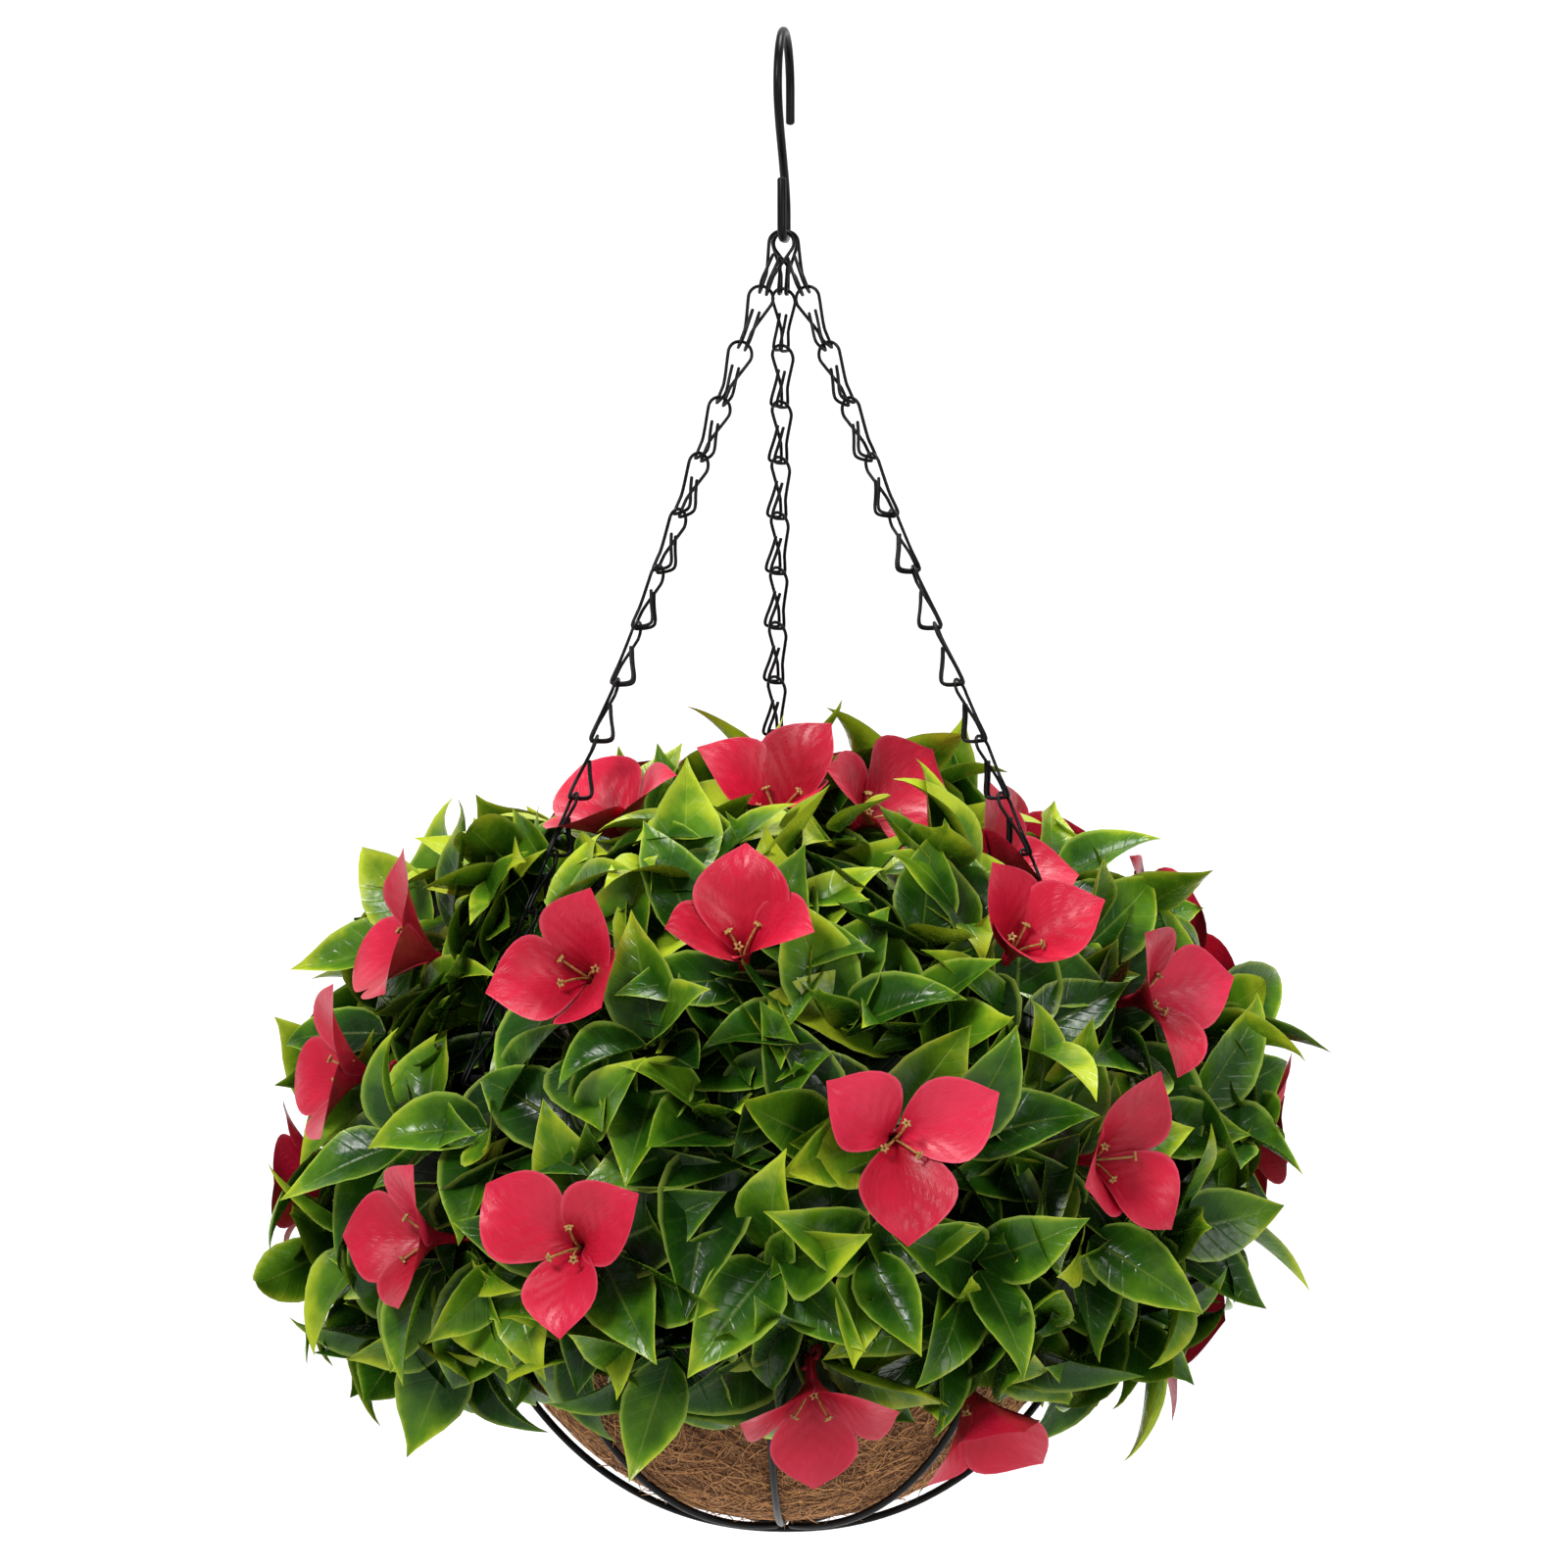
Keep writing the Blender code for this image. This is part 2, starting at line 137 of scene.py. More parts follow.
def sweep(path, radius, sides, closed=False, start=(0.0, 0.0, 1.0)):
    """A round tube: at each point of the path, a circle of the radius in the plane across
    the mean of the two runs that meet there; the circle's zero is carried along unturned."""
    path = np.asarray(path, float)
    count = len(path)
    ahead = np.roll(path, -1, 0) - path
    if not closed:
        ahead[-1] = ahead[-2]
    ahead = unit(ahead)
    behind = np.roll(ahead, 1, 0)
    if not closed:
        behind[0] = ahead[0]
    along = unit(ahead + behind)
    zero = np.zeros((count, 3))
    carried = np.asarray(start, float)
    for i in range(count):
        carried = unit(carried - carried.dot(along[i]) * along[i])
        zero[i] = carried
    cross = np.cross(along, zero)
    turn = 2 * np.pi * np.arange(sides) / sides
    size = np.broadcast_to(np.asarray(radius, float), (count,))
    rings = (path[:, None] + size[:, None, None]
             * (np.cos(turn)[None, :, None] * zero[:, None]
                + np.sin(turn)[None, :, None] * cross[:, None]))
    quads, side_no, ring_no = ring_quads(count, sides, closed)
    reach = np.concatenate([[0], np.cumsum(np.linalg.norm(np.diff(path, axis=0), axis=1))])
    if closed:
        reach = np.append(reach, reach[-1] + np.linalg.norm(path[0] - path[-1]))
    return rings.reshape(-1, 3), quads, np.stack([side_no / sides, reach[ring_no]], -1)


def round_ends(path, radius, steps=4):
    """Lengthen a path's ends by half circles of shrinking radius: (path, radius per point)."""
    path = np.asarray(path, float)
    turn = np.linspace(0, np.pi / 2, steps + 1)[:-1]
    first, last = unit(path[0] - path[1]), unit(path[-1] - path[-2])
    lift = radius * np.cos(turn)
    small = radius * np.sin(turn)
    small[0] = radius * 0.12
    start = path[0] + first * lift[:, None] * 0.6
    end = (path[-1] + last * lift[:, None] * 0.6)[::-1]
    sizes = np.concatenate([small, np.full(len(path), radius), small[::-1]])
    return np.vstack([start, path, end]), sizes


def soften(points, rounds):
    """Cut every corner at a quarter and three quarters of its runs, some rounds over."""
    for _ in range(rounds):
        ahead = np.roll(points, -1, 0)
        pairs = np.stack([0.75 * points + 0.25 * ahead, 0.25 * points + 0.75 * ahead], 1)
        points = np.vstack([points[:1], pairs[:-1].reshape(-1, 3), points[-1:]])
    return points


def caps(count, sides):
    """The two end faces of an open tube: its first ring turned over, and its last ring."""
    last = (count - 1) * sides
    return [tuple(range(sides))[::-1], tuple(range(last, last + sides))]


def make_piece(name, verts, faces, loop_uv, mat, body="hung_basket", tone=None, ends=()):
    """Put arrays into one mesh object: vertices, quads, a UV per face corner, a material."""
    mesh = bpy.data.meshes.new(name)
    faces = [*np.asarray(faces).tolist(), *ends]
    mesh.from_pydata(np.asarray(verts).tolist(), [], faces)
    uv = np.zeros((len(mesh.loops), 2), np.float32)
    uv[:loop_uv.size // 2] = np.asarray(loop_uv, np.float32).reshape(-1, 2)
    mesh.uv_layers.new(name="UVMap").data.foreach_set("uv", uv.ravel())
    if tone is not None:
        mesh.attributes.new("tone", "FLOAT", "POINT").data.foreach_set(
            "value", np.asarray(tone, np.float32))
    mesh.shade_smooth()
    mesh.materials.append(mat)
    obj = bpy.data.objects.new(name, mesh)
    bpy.context.collection.objects.link(obj)
    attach(obj, body)
    return obj


def merge(parts):
    """Join (verts, faces, uv) triples into one triple, shifting the face numbers."""
    shift = np.cumsum([0] + [len(p[0]) for p in parts[:-1]])
    return (np.vstack([p[0] for p in parts]),
            np.vstack([p[1] + s for p, s in zip(parts, shift)]),
            np.vstack([p[2] for p in parts]))


def hook_path():
    """A half circle, a slanting shank whose sideways share eases in and out by
    t*t*(3 - 2*t), and a flat-bottomed eye with round corners, all in the hook's plane."""
    def bend(cu, cz, radius, a, b, steps):
        t = np.radians(np.linspace(a, b, steps + 1))
        return np.stack([cu + radius * np.cos(t), cz + radius * np.sin(t)], 1)
    low = EYE_Z + EYE_CORNER
    t = np.linspace(0.04, 1.0, 22)[:, None]
    ease = t * t * (3 - 2 * t)
    start, stop = np.array([-BEND_RADIUS, BEND_Z]), np.array([EYE_HALF, low + 0.005])
    shank = start + (stop - start) * np.hstack([ease, t])
    flat = np.vstack([[BEND_RADIUS, BEND_Z - TIP_LENGTH],
                      bend(0, BEND_Z, BEND_RADIUS, 0, 180, 40), shank,
                      bend(EYE_FLAT, low, EYE_CORNER, 0, -90, 12),
                      bend(-EYE_FLAT, low, EYE_CORNER, -90, -180, 12),
                      [[-EYE_HALF, low + EYE_TALL]]])
    return flat[:, :1] * HOOK_DIR + flat[:, 1:] * np.array([0, 0, 1.0])


path, sizes = round_ends(hook_path(), HOOK_HALF)
verts, quads, uv = sweep(path, sizes, 16, start=(HOOK_DIR[1], -HOOK_DIR[0], 0))
hook = make_piece("hook_wire", verts, quads, uv, ENAMEL, "hook", ends=caps(len(path), 16))
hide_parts("ceiling_hook")

# ---- Chains ----------------------------------------------------------------------
# Each link is one 1.45 mm wire: a round bow at the top, sides that taper to two legs, and
# at the foot each leg is folded inward and back up into a prong that holds the next bow.

RIM_RADIUS, RIM_Z, RIM_HALF = 0.160, -0.457963, 0.0020
LINKS, PITCH, LINK_WIRE, BOW, SPREAD = 15, 0.027, 0.00145, 0.0055, 0.0016
LEG_SET, BAR_DROP, BAR_SLOPE, GAP = 0.0024, 0.00245, np.radians(18), 0.0003
COATED_HALF = 0.00077
SEAT_Y = RIM_HALF + LINK_WIRE / 2 + GAP - LEG_SET + 0.0004
SEAT_UP = ((RIM_HALF + LINK_WIRE / 2 + GAP + 0.0001) / np.cos(BAR_SLOPE) - BAR_DROP
           + SEAT_Y * np.tan(BAR_SLOPE))
# azimuth, place along the eye's bottom wire, links that the first turn fades over, and
# degrees of extra turn midway
CHAINS = {"left": (-57.7, -0.0032, 11.5, 0.0), "right": (62.3, 0.0, 8.5, 0.0),
          "back": (182.3, 0.0036, 10.0, 46.0)}


def link_path():
    """The link's centre line: prong's end, fold, leg, bow, leg, fold, prong's end. The
    sides leave the bow's circle 15 degrees below its middle, straight to the neck."""
    bar, rise, foot = -PITCH - BAR_DROP, np.tan(BAR_SLOPE), -LEG_SET
    half = np.array([
        (0.0006, -0.44 * PITCH), (0.0030, -0.66 * PITCH),
        (0.0068, bar + 0.0066 * rise + 0.0026), (0.0060, bar + 0.0066 * rise - 0.0001),
        (foot + 0.0014, bar + (foot + 0.0014) * rise),
        (foot - 0.0001, bar + foot * rise + 0.0006), (foot * 0.86, bar + 0.0060),
        (foot * 0.70, -0.74 * PITCH)])
    right = np.column_stack([np.full(len(half), SPREAD), half])
    t = np.radians(np.linspace(-15, 195, 15))
    bow = np.column_stack([1.01 * BOW * np.cos(t), 0 * t, BOW * (1.01 * np.sin(t) - 1)])
    left = right[::-1] * np.array([-1, 1, 1])
    return soften(np.vstack([right, bow, left]), 2)


def chain_places(azimuth, along_hook, untwist, bump):
    """Origin and axes of each link: a straight line from the hook to the rim, the axes
    turning from square across the hook to facing the basket's middle."""
    out = outward(np.radians(azimuth))
    eye = along_hook * HOOK_DIR + np.array([0, 0, EYE_Z])
    seat = out * RIM_RADIUS + np.array([0, 0, RIM_Z])
    down = seat - eye
    for _ in range(4):
        down = down / np.linalg.norm(down)
        lean = np.sqrt(1 - HOOK_DIR.dot(down) ** 2)
        top = eye - down * (HOOK_HALF + LINK_WIRE / 2 + GAP) / lean
        inward = -out + out.dot(down) * down
        inward /= np.linalg.norm(inward)
        down = seat - top - inward * SEAT_Y
    length = np.linalg.norm(down)
    down = down / length
    pitch = (length - PITCH + SEAT_UP) / (LINKS - 1)
    first = -HOOK_DIR + HOOK_DIR.dot(down) * down
    turn = np.arctan2(np.cross(inward, first).dot(down), inward.dot(first))
    n = np.arange(LINKS)[:, None]
    swell = np.radians(bump) * np.sin(np.pi * n / (LINKS - 1)).clip(0) ** 0.6
    a = turn * np.maximum(0, 1 - n / untwist) + swell
    y = inward * np.cos(a) + np.cross(down, inward) * np.sin(a)
    return top + down * pitch * n, np.cross(y, -down), y, -down


line = link_path()
chain_lines = {}
for side, facts in CHAINS.items():
    origin, x, y, z = chain_places(*facts)
    chain_lines[side] = (origin[0], origin[-1] - z * PITCH)
    for n in range(LINKS):
        path = origin[n] + line @ np.array([x[n], y[n], z])
        path, sizes = round_ends(path, COATED_HALF, 2)
        verts, quads, uv = sweep(path, sizes, 8, start=x[n])
        link = make_piece(f"chain_{side}_{n + 1:02d}", verts, quads, uv, ENAMEL,
                          ends=caps(len(path), 8))
        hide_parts(f"link_{side}_{n + 1:02d}")

# ---- Basket wires ----------------------------------------------------------------
# A welded ring of 4 mm wire with eight ribs of 3.4 mm wire: two whole hoops that cross
# under the bowl and four half ribs between them, all in the same black enamel.

RIB_RADIUS, RIB_WIRE, DEPTH, POWER = 0.1557, 0.0034, 0.2039, 2.15
RIB_TURN, RIB_END = -3.0, 0.00453


def bowl(radius, depth, t):
    """The bowl's section: radius*cos(t)^(2/p) out and depth*sin(t)^(2/p) down."""
    p = 2 / POWER
    return radius * np.clip(np.cos(t), 0, 1) ** p, depth * np.clip(np.sin(t), 0, 1) ** p


def rib_path(azimuth, depth, last, steps=56):
    """A rib's centre line: 2 mm over the rim, then down the bowl's section at one azimuth
    to the angle last, its points closer together near the rim."""
    t = np.radians(np.linspace(0, 1, steps) ** 1.15 * last)
    r, drop = bowl(RIB_RADIUS, depth, t)
    out = outward(azimuth)
    line = r[:, None] * out + np.stack([0 * r, 0 * r, RIM_Z - drop], 1)
    return np.vstack([out * RIB_RADIUS + np.array([0, 0, RIM_Z + 0.002]), line])


turn = 2 * np.pi * np.arange(160) / 160
ring = RIM_RADIUS * outward(turn) + np.array([0, 0, RIM_Z])
verts, quads, uv = sweep(ring, RIM_HALF, 14, closed=True)
rim = make_piece("rim_ring", verts, quads, uv, ENAMEL)
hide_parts("basket_rim")

for name, turn, shift in (("front_back", 0, -1), ("left_right", 90, 1)):
    az = np.radians(RIB_TURN + turn)
    depth = DEPTH + shift * (RIB_WIRE + GAP) / 2
    path = np.vstack([rib_path(az, depth, 90), rib_path(az + np.pi, depth, 90)[:-1][::-1]])
    path, sizes = round_ends(path, RIB_WIRE / 2)
    verts, quads, uv = sweep(path, sizes, 14, start=(np.cos(az), np.sin(az), 0))
    hoop = make_piece(f"hoop_{name}", verts, quads, uv, ENAMEL, ends=caps(len(path), 14))
    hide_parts(f"basket_hoop_{name}")
for turn in (45, 135, 225, 315):
    az = np.radians(RIB_TURN + turn)
    last = np.degrees(np.arccos((RIB_END / RIB_RADIUS) ** (POWER / 2)))
    path, sizes = round_ends(rib_path(az, DEPTH, last), RIB_WIRE / 2)
    verts, quads, uv = sweep(path, sizes, 14, start=(np.cos(az), np.sin(az), 0))
    rib = make_piece(f"rib_{turn:03d}", verts, quads, uv, ENAMEL, ends=caps(len(path), 14))
    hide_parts(f"basket_rib_{turn:03d}")

# ---- Coir liner ------------------------------------------------------------------
# Coconut fibre, needled and pressed into a bowl about 8 mm thick. The face is a mat of
# coarse fibres that lie every way, and some spring loose between the wires.

LINER_RADIUS = RIB_RADIUS - RIB_WIRE / 2 - 0.0030
LINER_DEPTH = DEPTH - (RIB_WIRE + GAP) / 2 - RIB_WIRE / 2 - 3 * GAP
LINER_TOP, LINER_THICK = 0.0080, 0.008
OUTER_ROWS, INNER_ROWS, POLE = 64, 20, 0.0002


def ripple(points, wavelength, seed, waves=9):
    """A smooth random field, -1 to 1: the mean of sine waves in random directions."""
    rng = np.random.default_rng(seed)
    way = unit(rng.normal(size=(waves, 3)))
    phase = rng.uniform(0, 2 * np.pi, waves)
    scale = rng.uniform(0.7, 1.4, waves) * 2 * np.pi / wavelength
    return np.sin(points @ (way * scale[:, None]).T + phase).mean(-1) * 1.6


def coir_material(name, dark, light):
    """Three layers of stretched noise at different turns stand for crossing fibres."""
    mat, tree, shader = new_material(name)
    place = node(tree, "ShaderNodeTexCoord").outputs["Object"]
    layers = []
    for turn, lengthwise in (((0.3, 0.2, 0.5), 1), ((1.2, -0.4, 2.1), 0),
                             ((-0.8, 0.9, -0.6), 2)):
        scale = [1100.0] * 3
        scale[lengthwise] = 120.0
        mapped = node(tree, "ShaderNodeMapping", Vector=place, Rotation=turn, Scale=scale)
        layers.append(node(tree, "ShaderNodeTexNoise", Vector=mapped.outputs[0], Scale=1.0,
                           Detail=3.0, Roughness=0.6).outputs["Fac"])
    top = node(tree, "ShaderNodeMath", {"operation": "MAXIMUM"}, i0=layers[0], i1=layers[1])
    top = node(tree, "ShaderNodeMath", {"operation": "MAXIMUM"}, i0=top.outputs[0], i1=layers[2])
    tone = node(tree, "ShaderNodeAttribute", {"attribute_name": "tone"}).outputs["Fac"]
    mixed = node(tree, "ShaderNodeMath", {"operation": "ADD"}, i0=top.outputs[0], i1=tone)
    colour = ramp(tree, mixed.outputs[0], [(0.44, dark), (0.58, tuple(
        0.5 * (a + b) for a, b in zip(dark, light))), (0.80, light)])
    dress(tree, shader, colour, 0.72, top.outputs[0], 0.9, 0.0008)
    return mat


def liner_shell():
    """The bowl's outer face from rim to pole, then its inner face back up; the outer face
    is pushed in and out by a coarse and a fine ripple, which fades at the rim."""
    turns, rows = 180, OUTER_ROWS + INNER_ROWS
    start = np.arcsin((LINER_TOP / LINER_DEPTH) ** (POWER / 2))
    r1, d1 = bowl(LINER_RADIUS, LINER_DEPTH, np.linspace(start, np.pi / 2, OUTER_ROWS))
    r2, d2 = bowl(LINER_RADIUS - LINER_THICK, LINER_DEPTH - LINER_THICK,
                  np.linspace(np.pi / 2, start, INNER_ROWS))
    r, d = np.concatenate([r1, r2]), np.concatenate([d1, d2])
    r[OUTER_ROWS - 1] = r[OUTER_ROWS] = POLE
    face = np.arange(rows) < OUTER_ROWS
    a = 2 * np.pi * np.arange(turns) / turns
    pts = r[:, None, None] * outward(a)
    pts[..., 2] = (RIM_Z - d)[:, None]
    out = unit(pts - np.array([0, 0, RIM_Z]))
    push = 0.0007 * ripple(pts, 0.030, 3) + 0.0006 * ripple(pts, 0.006, 4) - 0.0006
    near_edge = np.clip(np.arange(rows) / 3, 0, 1)
    pts = pts + out * (push * (face * near_edge)[:, None])[..., None]
    quads, side_no, ring_no = ring_quads(rows, turns, closed=True)
    keep = quads[:, 0] // turns != OUTER_ROWS - 1
    turned = [0, 3, 2, 1]
    uv = np.stack([side_no / turns, ring_no / rows], -1)[keep][:, turned]
    low = (OUTER_ROWS - 1) * turns
    poles = [tuple(range(low, low + turns)),
             tuple(range(low + turns, low + 2 * turns))[::-1]]
    return pts.reshape(-1, 3), quads[keep][:, turned], uv, poles


def on_bowl(points, lift):
    """Slide points along their line from the rim's centre onto the bowl, plus a lift."""
    q = points - np.array([0, 0, RIM_Z])
    r = np.linalg.norm(q[..., :2], axis=-1)
    size = ((r / LINER_RADIUS) ** POWER + (np.abs(q[..., 2]) / LINER_DEPTH) ** POWER) ** (
        1 / POWER)
    q = q / np.maximum(size, 1e-6)[..., None]
    length = np.linalg.norm(q, axis=-1)
    return q * ((length + lift) / length)[..., None] + np.array([0, 0, RIM_Z])


def fibres(count, seed, low, thin, thick, loose):
    """Three-sided hairs: each starts at a random place and turns slowly as it runs over
    the bowl; its height over the face swells along it, and its ends dive in or spring out."""
    rng = np.random.default_rng(seed)
    steps = 9
    t = np.radians(rng.uniform(low, 89, count))
    a = rng.uniform(0, 2 * np.pi, count)
    r, drop = bowl(LINER_RADIUS, LINER_DEPTH, t)
    start = r[:, None] * outward(a)
    start[:, 2] = RIM_Z - drop
    out = unit(start - np.array([0, 0, RIM_Z]))
    ahead = unit(np.cross(out, rng.normal(size=(count, 3))))
    side = np.cross(out, ahead)
    s = np.linspace(-0.5, 0.5, steps)[None] * rng.uniform(0.016, 0.050, count)[:, None]
    curl = rng.normal(0, 16, count)[:, None]
    wave = rng.uniform(0.0002, 0.0012, count)[:, None] * np.sin(
        s * rng.uniform(200, 500, count)[:, None] + rng.uniform(0, 6, count)[:, None])
    run = (start[:, None] + ahead[:, None] * s[..., None]
           + side[:, None] * (curl * s * s + wave)[..., None])
    arch = np.sin(np.linspace(0, np.pi, steps))[None]
    high = rng.uniform(-0.0002, 0.0012, count)[:, None]
    spring = np.where(rng.random(count) < loose, rng.uniform(0.001, 0.006, count), 0)[:, None]
    lift = high * arch + 0.0001 + spring * (np.abs(np.linspace(-1, 1, steps)) ** 3)[None] * (
        np.linspace(-1, 1, steps) > 0)
    path = on_bowl(run, lift)
    up = unit(path - np.array([0, 0, RIM_Z]))
    across = unit(np.cross(unit(np.gradient(path, axis=1)), up))
    size = rng.uniform(thin, thick, count)[:, None, None, None] * np.interp(
        np.arange(steps), [0, 1, steps - 2, steps - 1], [0.35, 1, 1, 0.35])[None, :, None, None]
    turn = np.radians([90, 210, 330])
    ring = (path[:, :, None] + size * (np.cos(turn)[:, None] * across[:, :, None]
                                       + np.sin(turn)[:, None] * up[:, :, None]))
    quads, side_no, ring_no = ring_quads(steps, 3)
    quads = (quads + (np.arange(count) * steps * 3)[:, None, None]).reshape(-1, 4)
    uv = np.tile(np.stack([side_no / 3, ring_no / steps], -1), (count, 1, 1))
    tone = np.repeat(rng.normal(0.02, 0.13, count), steps * 3)
    return ring.reshape(-1, 3), quads, uv, tone


COIR = coir_material("coir_mat", (0.030, 0.009, 0.003), (0.48, 0.205, 0.062))
COIR_HAIR = coir_material("coir_hair", (0.13, 0.045, 0.013), (0.74, 0.37, 0.14))
verts, quads, uv, poles = liner_shell()
liner = make_piece("liner_bowl", verts, quads, uv, COIR, tone=np.zeros(len(verts)), ends=poles)
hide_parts("coir_liner")
for name, facts in {"liner_fibres_fine": (3600, 11, 24, 0.00016, 0.00028, 0.05),
                    "liner_fibres_coarse": (1900, 12, 38, 0.00026, 0.00042, 0.10)}.items():
    verts, quads, uv, tone = fibres(*facts)
    hair = make_piece(name, verts, quads, uv, COIR_HAIR, tone=tone)

# ---- Planting foam ---------------------------------------------------------------
# A light block of dark green foam fills the liner; every stem is pushed into it.


def foam_block():
    """The liner's inner section closed by a flat top, which a fine ripple pits."""
    turns, rows, top_rows, inset = 72, 34, 12, 0.0088
    start = np.arcsin((LINER_TOP / LINER_DEPTH) ** (POWER / 2))
    t = np.linspace(np.pi / 2, start, rows - top_rows)
    r1, d1 = bowl(LINER_RADIUS - inset, LINER_DEPTH - inset, t)
    r = np.concatenate([r1, np.linspace(r1[-1] - 0.003, 0, top_rows)])
    d = np.concatenate([d1, np.full(top_rows, LINER_TOP)])
    r[0] = r[-1] = POLE
    a = 2 * np.pi * np.arange(turns) / turns
    pts = r[:, None, None] * outward(a)
    pts[..., 2] = (RIM_Z - d)[:, None]
    pits = np.clip(ripple(pts, 0.008, 8), -1, 0) * 0.0015
    pts[-top_rows:, :, 2] += pits[-top_rows:]
    quads, side_no, ring_no = ring_quads(rows, turns)
    uv = np.stack([side_no / turns, ring_no / rows], -1)
    return pts.reshape(-1, 3), quads, uv, caps(rows, turns)


def grained_material(name, kind, settings, stops, rough, bump):
    """One texture of the kind named sets both the colour and the bump (strength, depth)."""
    mat, tree, shader = new_material(name)
    place = node(tree, "ShaderNodeTexCoord").outputs["Object"]
    grain = node(tree, kind, Vector=place, **settings).outputs[0]
    dress(tree, shader, ramp(tree, grain, stops), rough, grain, *bump)
    return mat


FOAM = grained_material("green_foam", "ShaderNodeTexVoronoi", {"Scale": 700.0},
                        [(0.0, (0.008, 0.018, 0.005)), (0.6, (0.04, 0.085, 0.025))],
                        0.95, (0.7, 0.0006))
verts, quads, uv, ends = foam_block()
foam = make_piece("foam_block", verts, quads, uv, FOAM, ends=ends)
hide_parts("foam_core")

# ---- Leaves ----------------------------------------------------------------------
# Moulded plastic sprigs: six to eight glossy pointed leaves in a whorl on each stem end.
# The plastic is dark at the base and midrib and dyed yellow-green at tips and edges.

# distance from the axis and height over the rim, from the mass's top to its lower edge
MASS_OUTLINE = np.array([(0.0, 0.104), (0.035, 0.103), (0.070, 0.097), (0.105, 0.084),
                         (0.138, 0.062), (0.164, 0.034), (0.180, 0.004), (0.188, -0.026),
                         (0.189, -0.052), (0.184, -0.074), (0.174, -0.090), (0.160, -0.100)])
LEAF_ROWS, LEAF_COLS = 14, 5


def leaf_blades(base, ahead, up, length, width, facts):
    """Leaf surfaces on a (length v, width u) grid. The midrib runs ahead from the base and
    turns away from its upper side by bend*v^1.4 + curl*v^5. Half width is
    sin(pi*v^0.78)^0.72 * (1 - 0.75*v^3.2) of the greatest, with a tiny tooth on every second
    row; the blade rises from the midrib as fold*|u|^1.6 - droop*u^4 and its edges wave."""
    count = len(base)
    v = np.linspace(0, 1, LEAF_ROWS)
    u = np.linspace(-1, 1, LEAF_COLS)
    angle = facts["bend"][:, None] * v ** 1.4 + facts["curl"][:, None] * v ** 5
    step = length[:, None] / (LEAF_ROWS - 1)
    x = np.cumsum(np.cos(angle) * step, 1) - np.cos(angle[:, :1]) * step
    z = -(np.cumsum(np.sin(angle) * step, 1) - np.sin(angle[:, :1]) * step)
    half = np.sin(np.pi * v ** 0.78).clip(0) ** 0.72 * (1 - 0.75 * v ** 3.2)
    half = np.maximum(half[None] * width[:, None] / 2, 0.0007)
    half[:, -1] = 0.0001
    tooth = 1 + 0.012 * np.where(np.arange(LEAF_ROWS) % 2, 1, -1) * (np.abs(u)[:, None] > 0.9)
    y = half[:, :, None] * u * tooth.T
    wave = facts["wave"][:, None, None] * np.sin(
        2 * np.pi * (facts["beat"][:, None] * v)[:, :, None]
        + facts["phase"][:, None, None] + 1.9 * np.sign(u)) * u ** 2
    rise = half[:, :, None] * (facts["fold"][:, None, None] * np.abs(u) ** 1.6
                               - facts["droop"][:, None, None] * u ** 4 + wave)
    roll = facts["twist"][:, None] * v
    yy = y * np.cos(roll)[..., None] - rise * np.sin(roll)[..., None]
    zz = y * np.sin(roll)[..., None] + rise * np.cos(roll)[..., None]
    side = np.cross(up, ahead)
    # the section stands square to the bent midrib
    square = (np.sin(angle)[..., None] * ahead[:, None] + np.cos(angle)[..., None] * up[:, None])
    mid = base[:, None] + x[..., None] * ahead[:, None] + z[..., None] * up[:, None]
    pts = (mid[:, :, None] + yy[..., None] * side[:, None, None]
           + zz[..., None] * square[:, :, None])
    return pts, mid


def grid_quads(count, rows, cols):
    """Quads and corner UVs of count separate grids of rows by cols points."""
    k, i, j = np.meshgrid(np.arange(count), np.arange(rows - 1), np.arange(cols - 1),
                          indexing="ij")
    base = k * rows * cols + i * cols + j
    quads = np.stack([base, base + cols, base + cols + 1, base + 1], -1).reshape(-1, 4)
    uv = np.stack([np.stack([j, j, j + 1, j + 1], -1) / (cols - 1),
                   np.stack([i, i + 1, i + 1, i], -1) / (rows - 1)], -1)
    return quads, uv.reshape(-1, 4, 2)


def outline_at(s):
    """Point and outward normal of the mass outline at a share s of its length, which comes
    last."""
    runs = np.linalg.norm(np.diff(MASS_OUTLINE, axis=0), axis=1)
    reach = np.concatenate([[0], np.cumsum(runs)]) / runs.sum()
    r = np.interp(s, reach, MASS_OUTLINE[:, 0])
    z = np.interp(s, reach, MASS_OUTLINE[:, 1])
    ahead = (np.interp(np.minimum(s + 0.03, 1), reach, MASS_OUTLINE[:, 0])
             - np.interp(np.maximum(s - 0.03, 0), reach, MASS_OUTLINE[:, 0]),
             np.interp(np.minimum(s + 0.03, 1), reach, MASS_OUTLINE[:, 1])
             - np.interp(np.maximum(s - 0.03, 0), reach, MASS_OUTLINE[:, 1]))
    n = np.stack([-ahead[1], ahead[0]], -1)
    return r, z, unit(n), runs.sum()


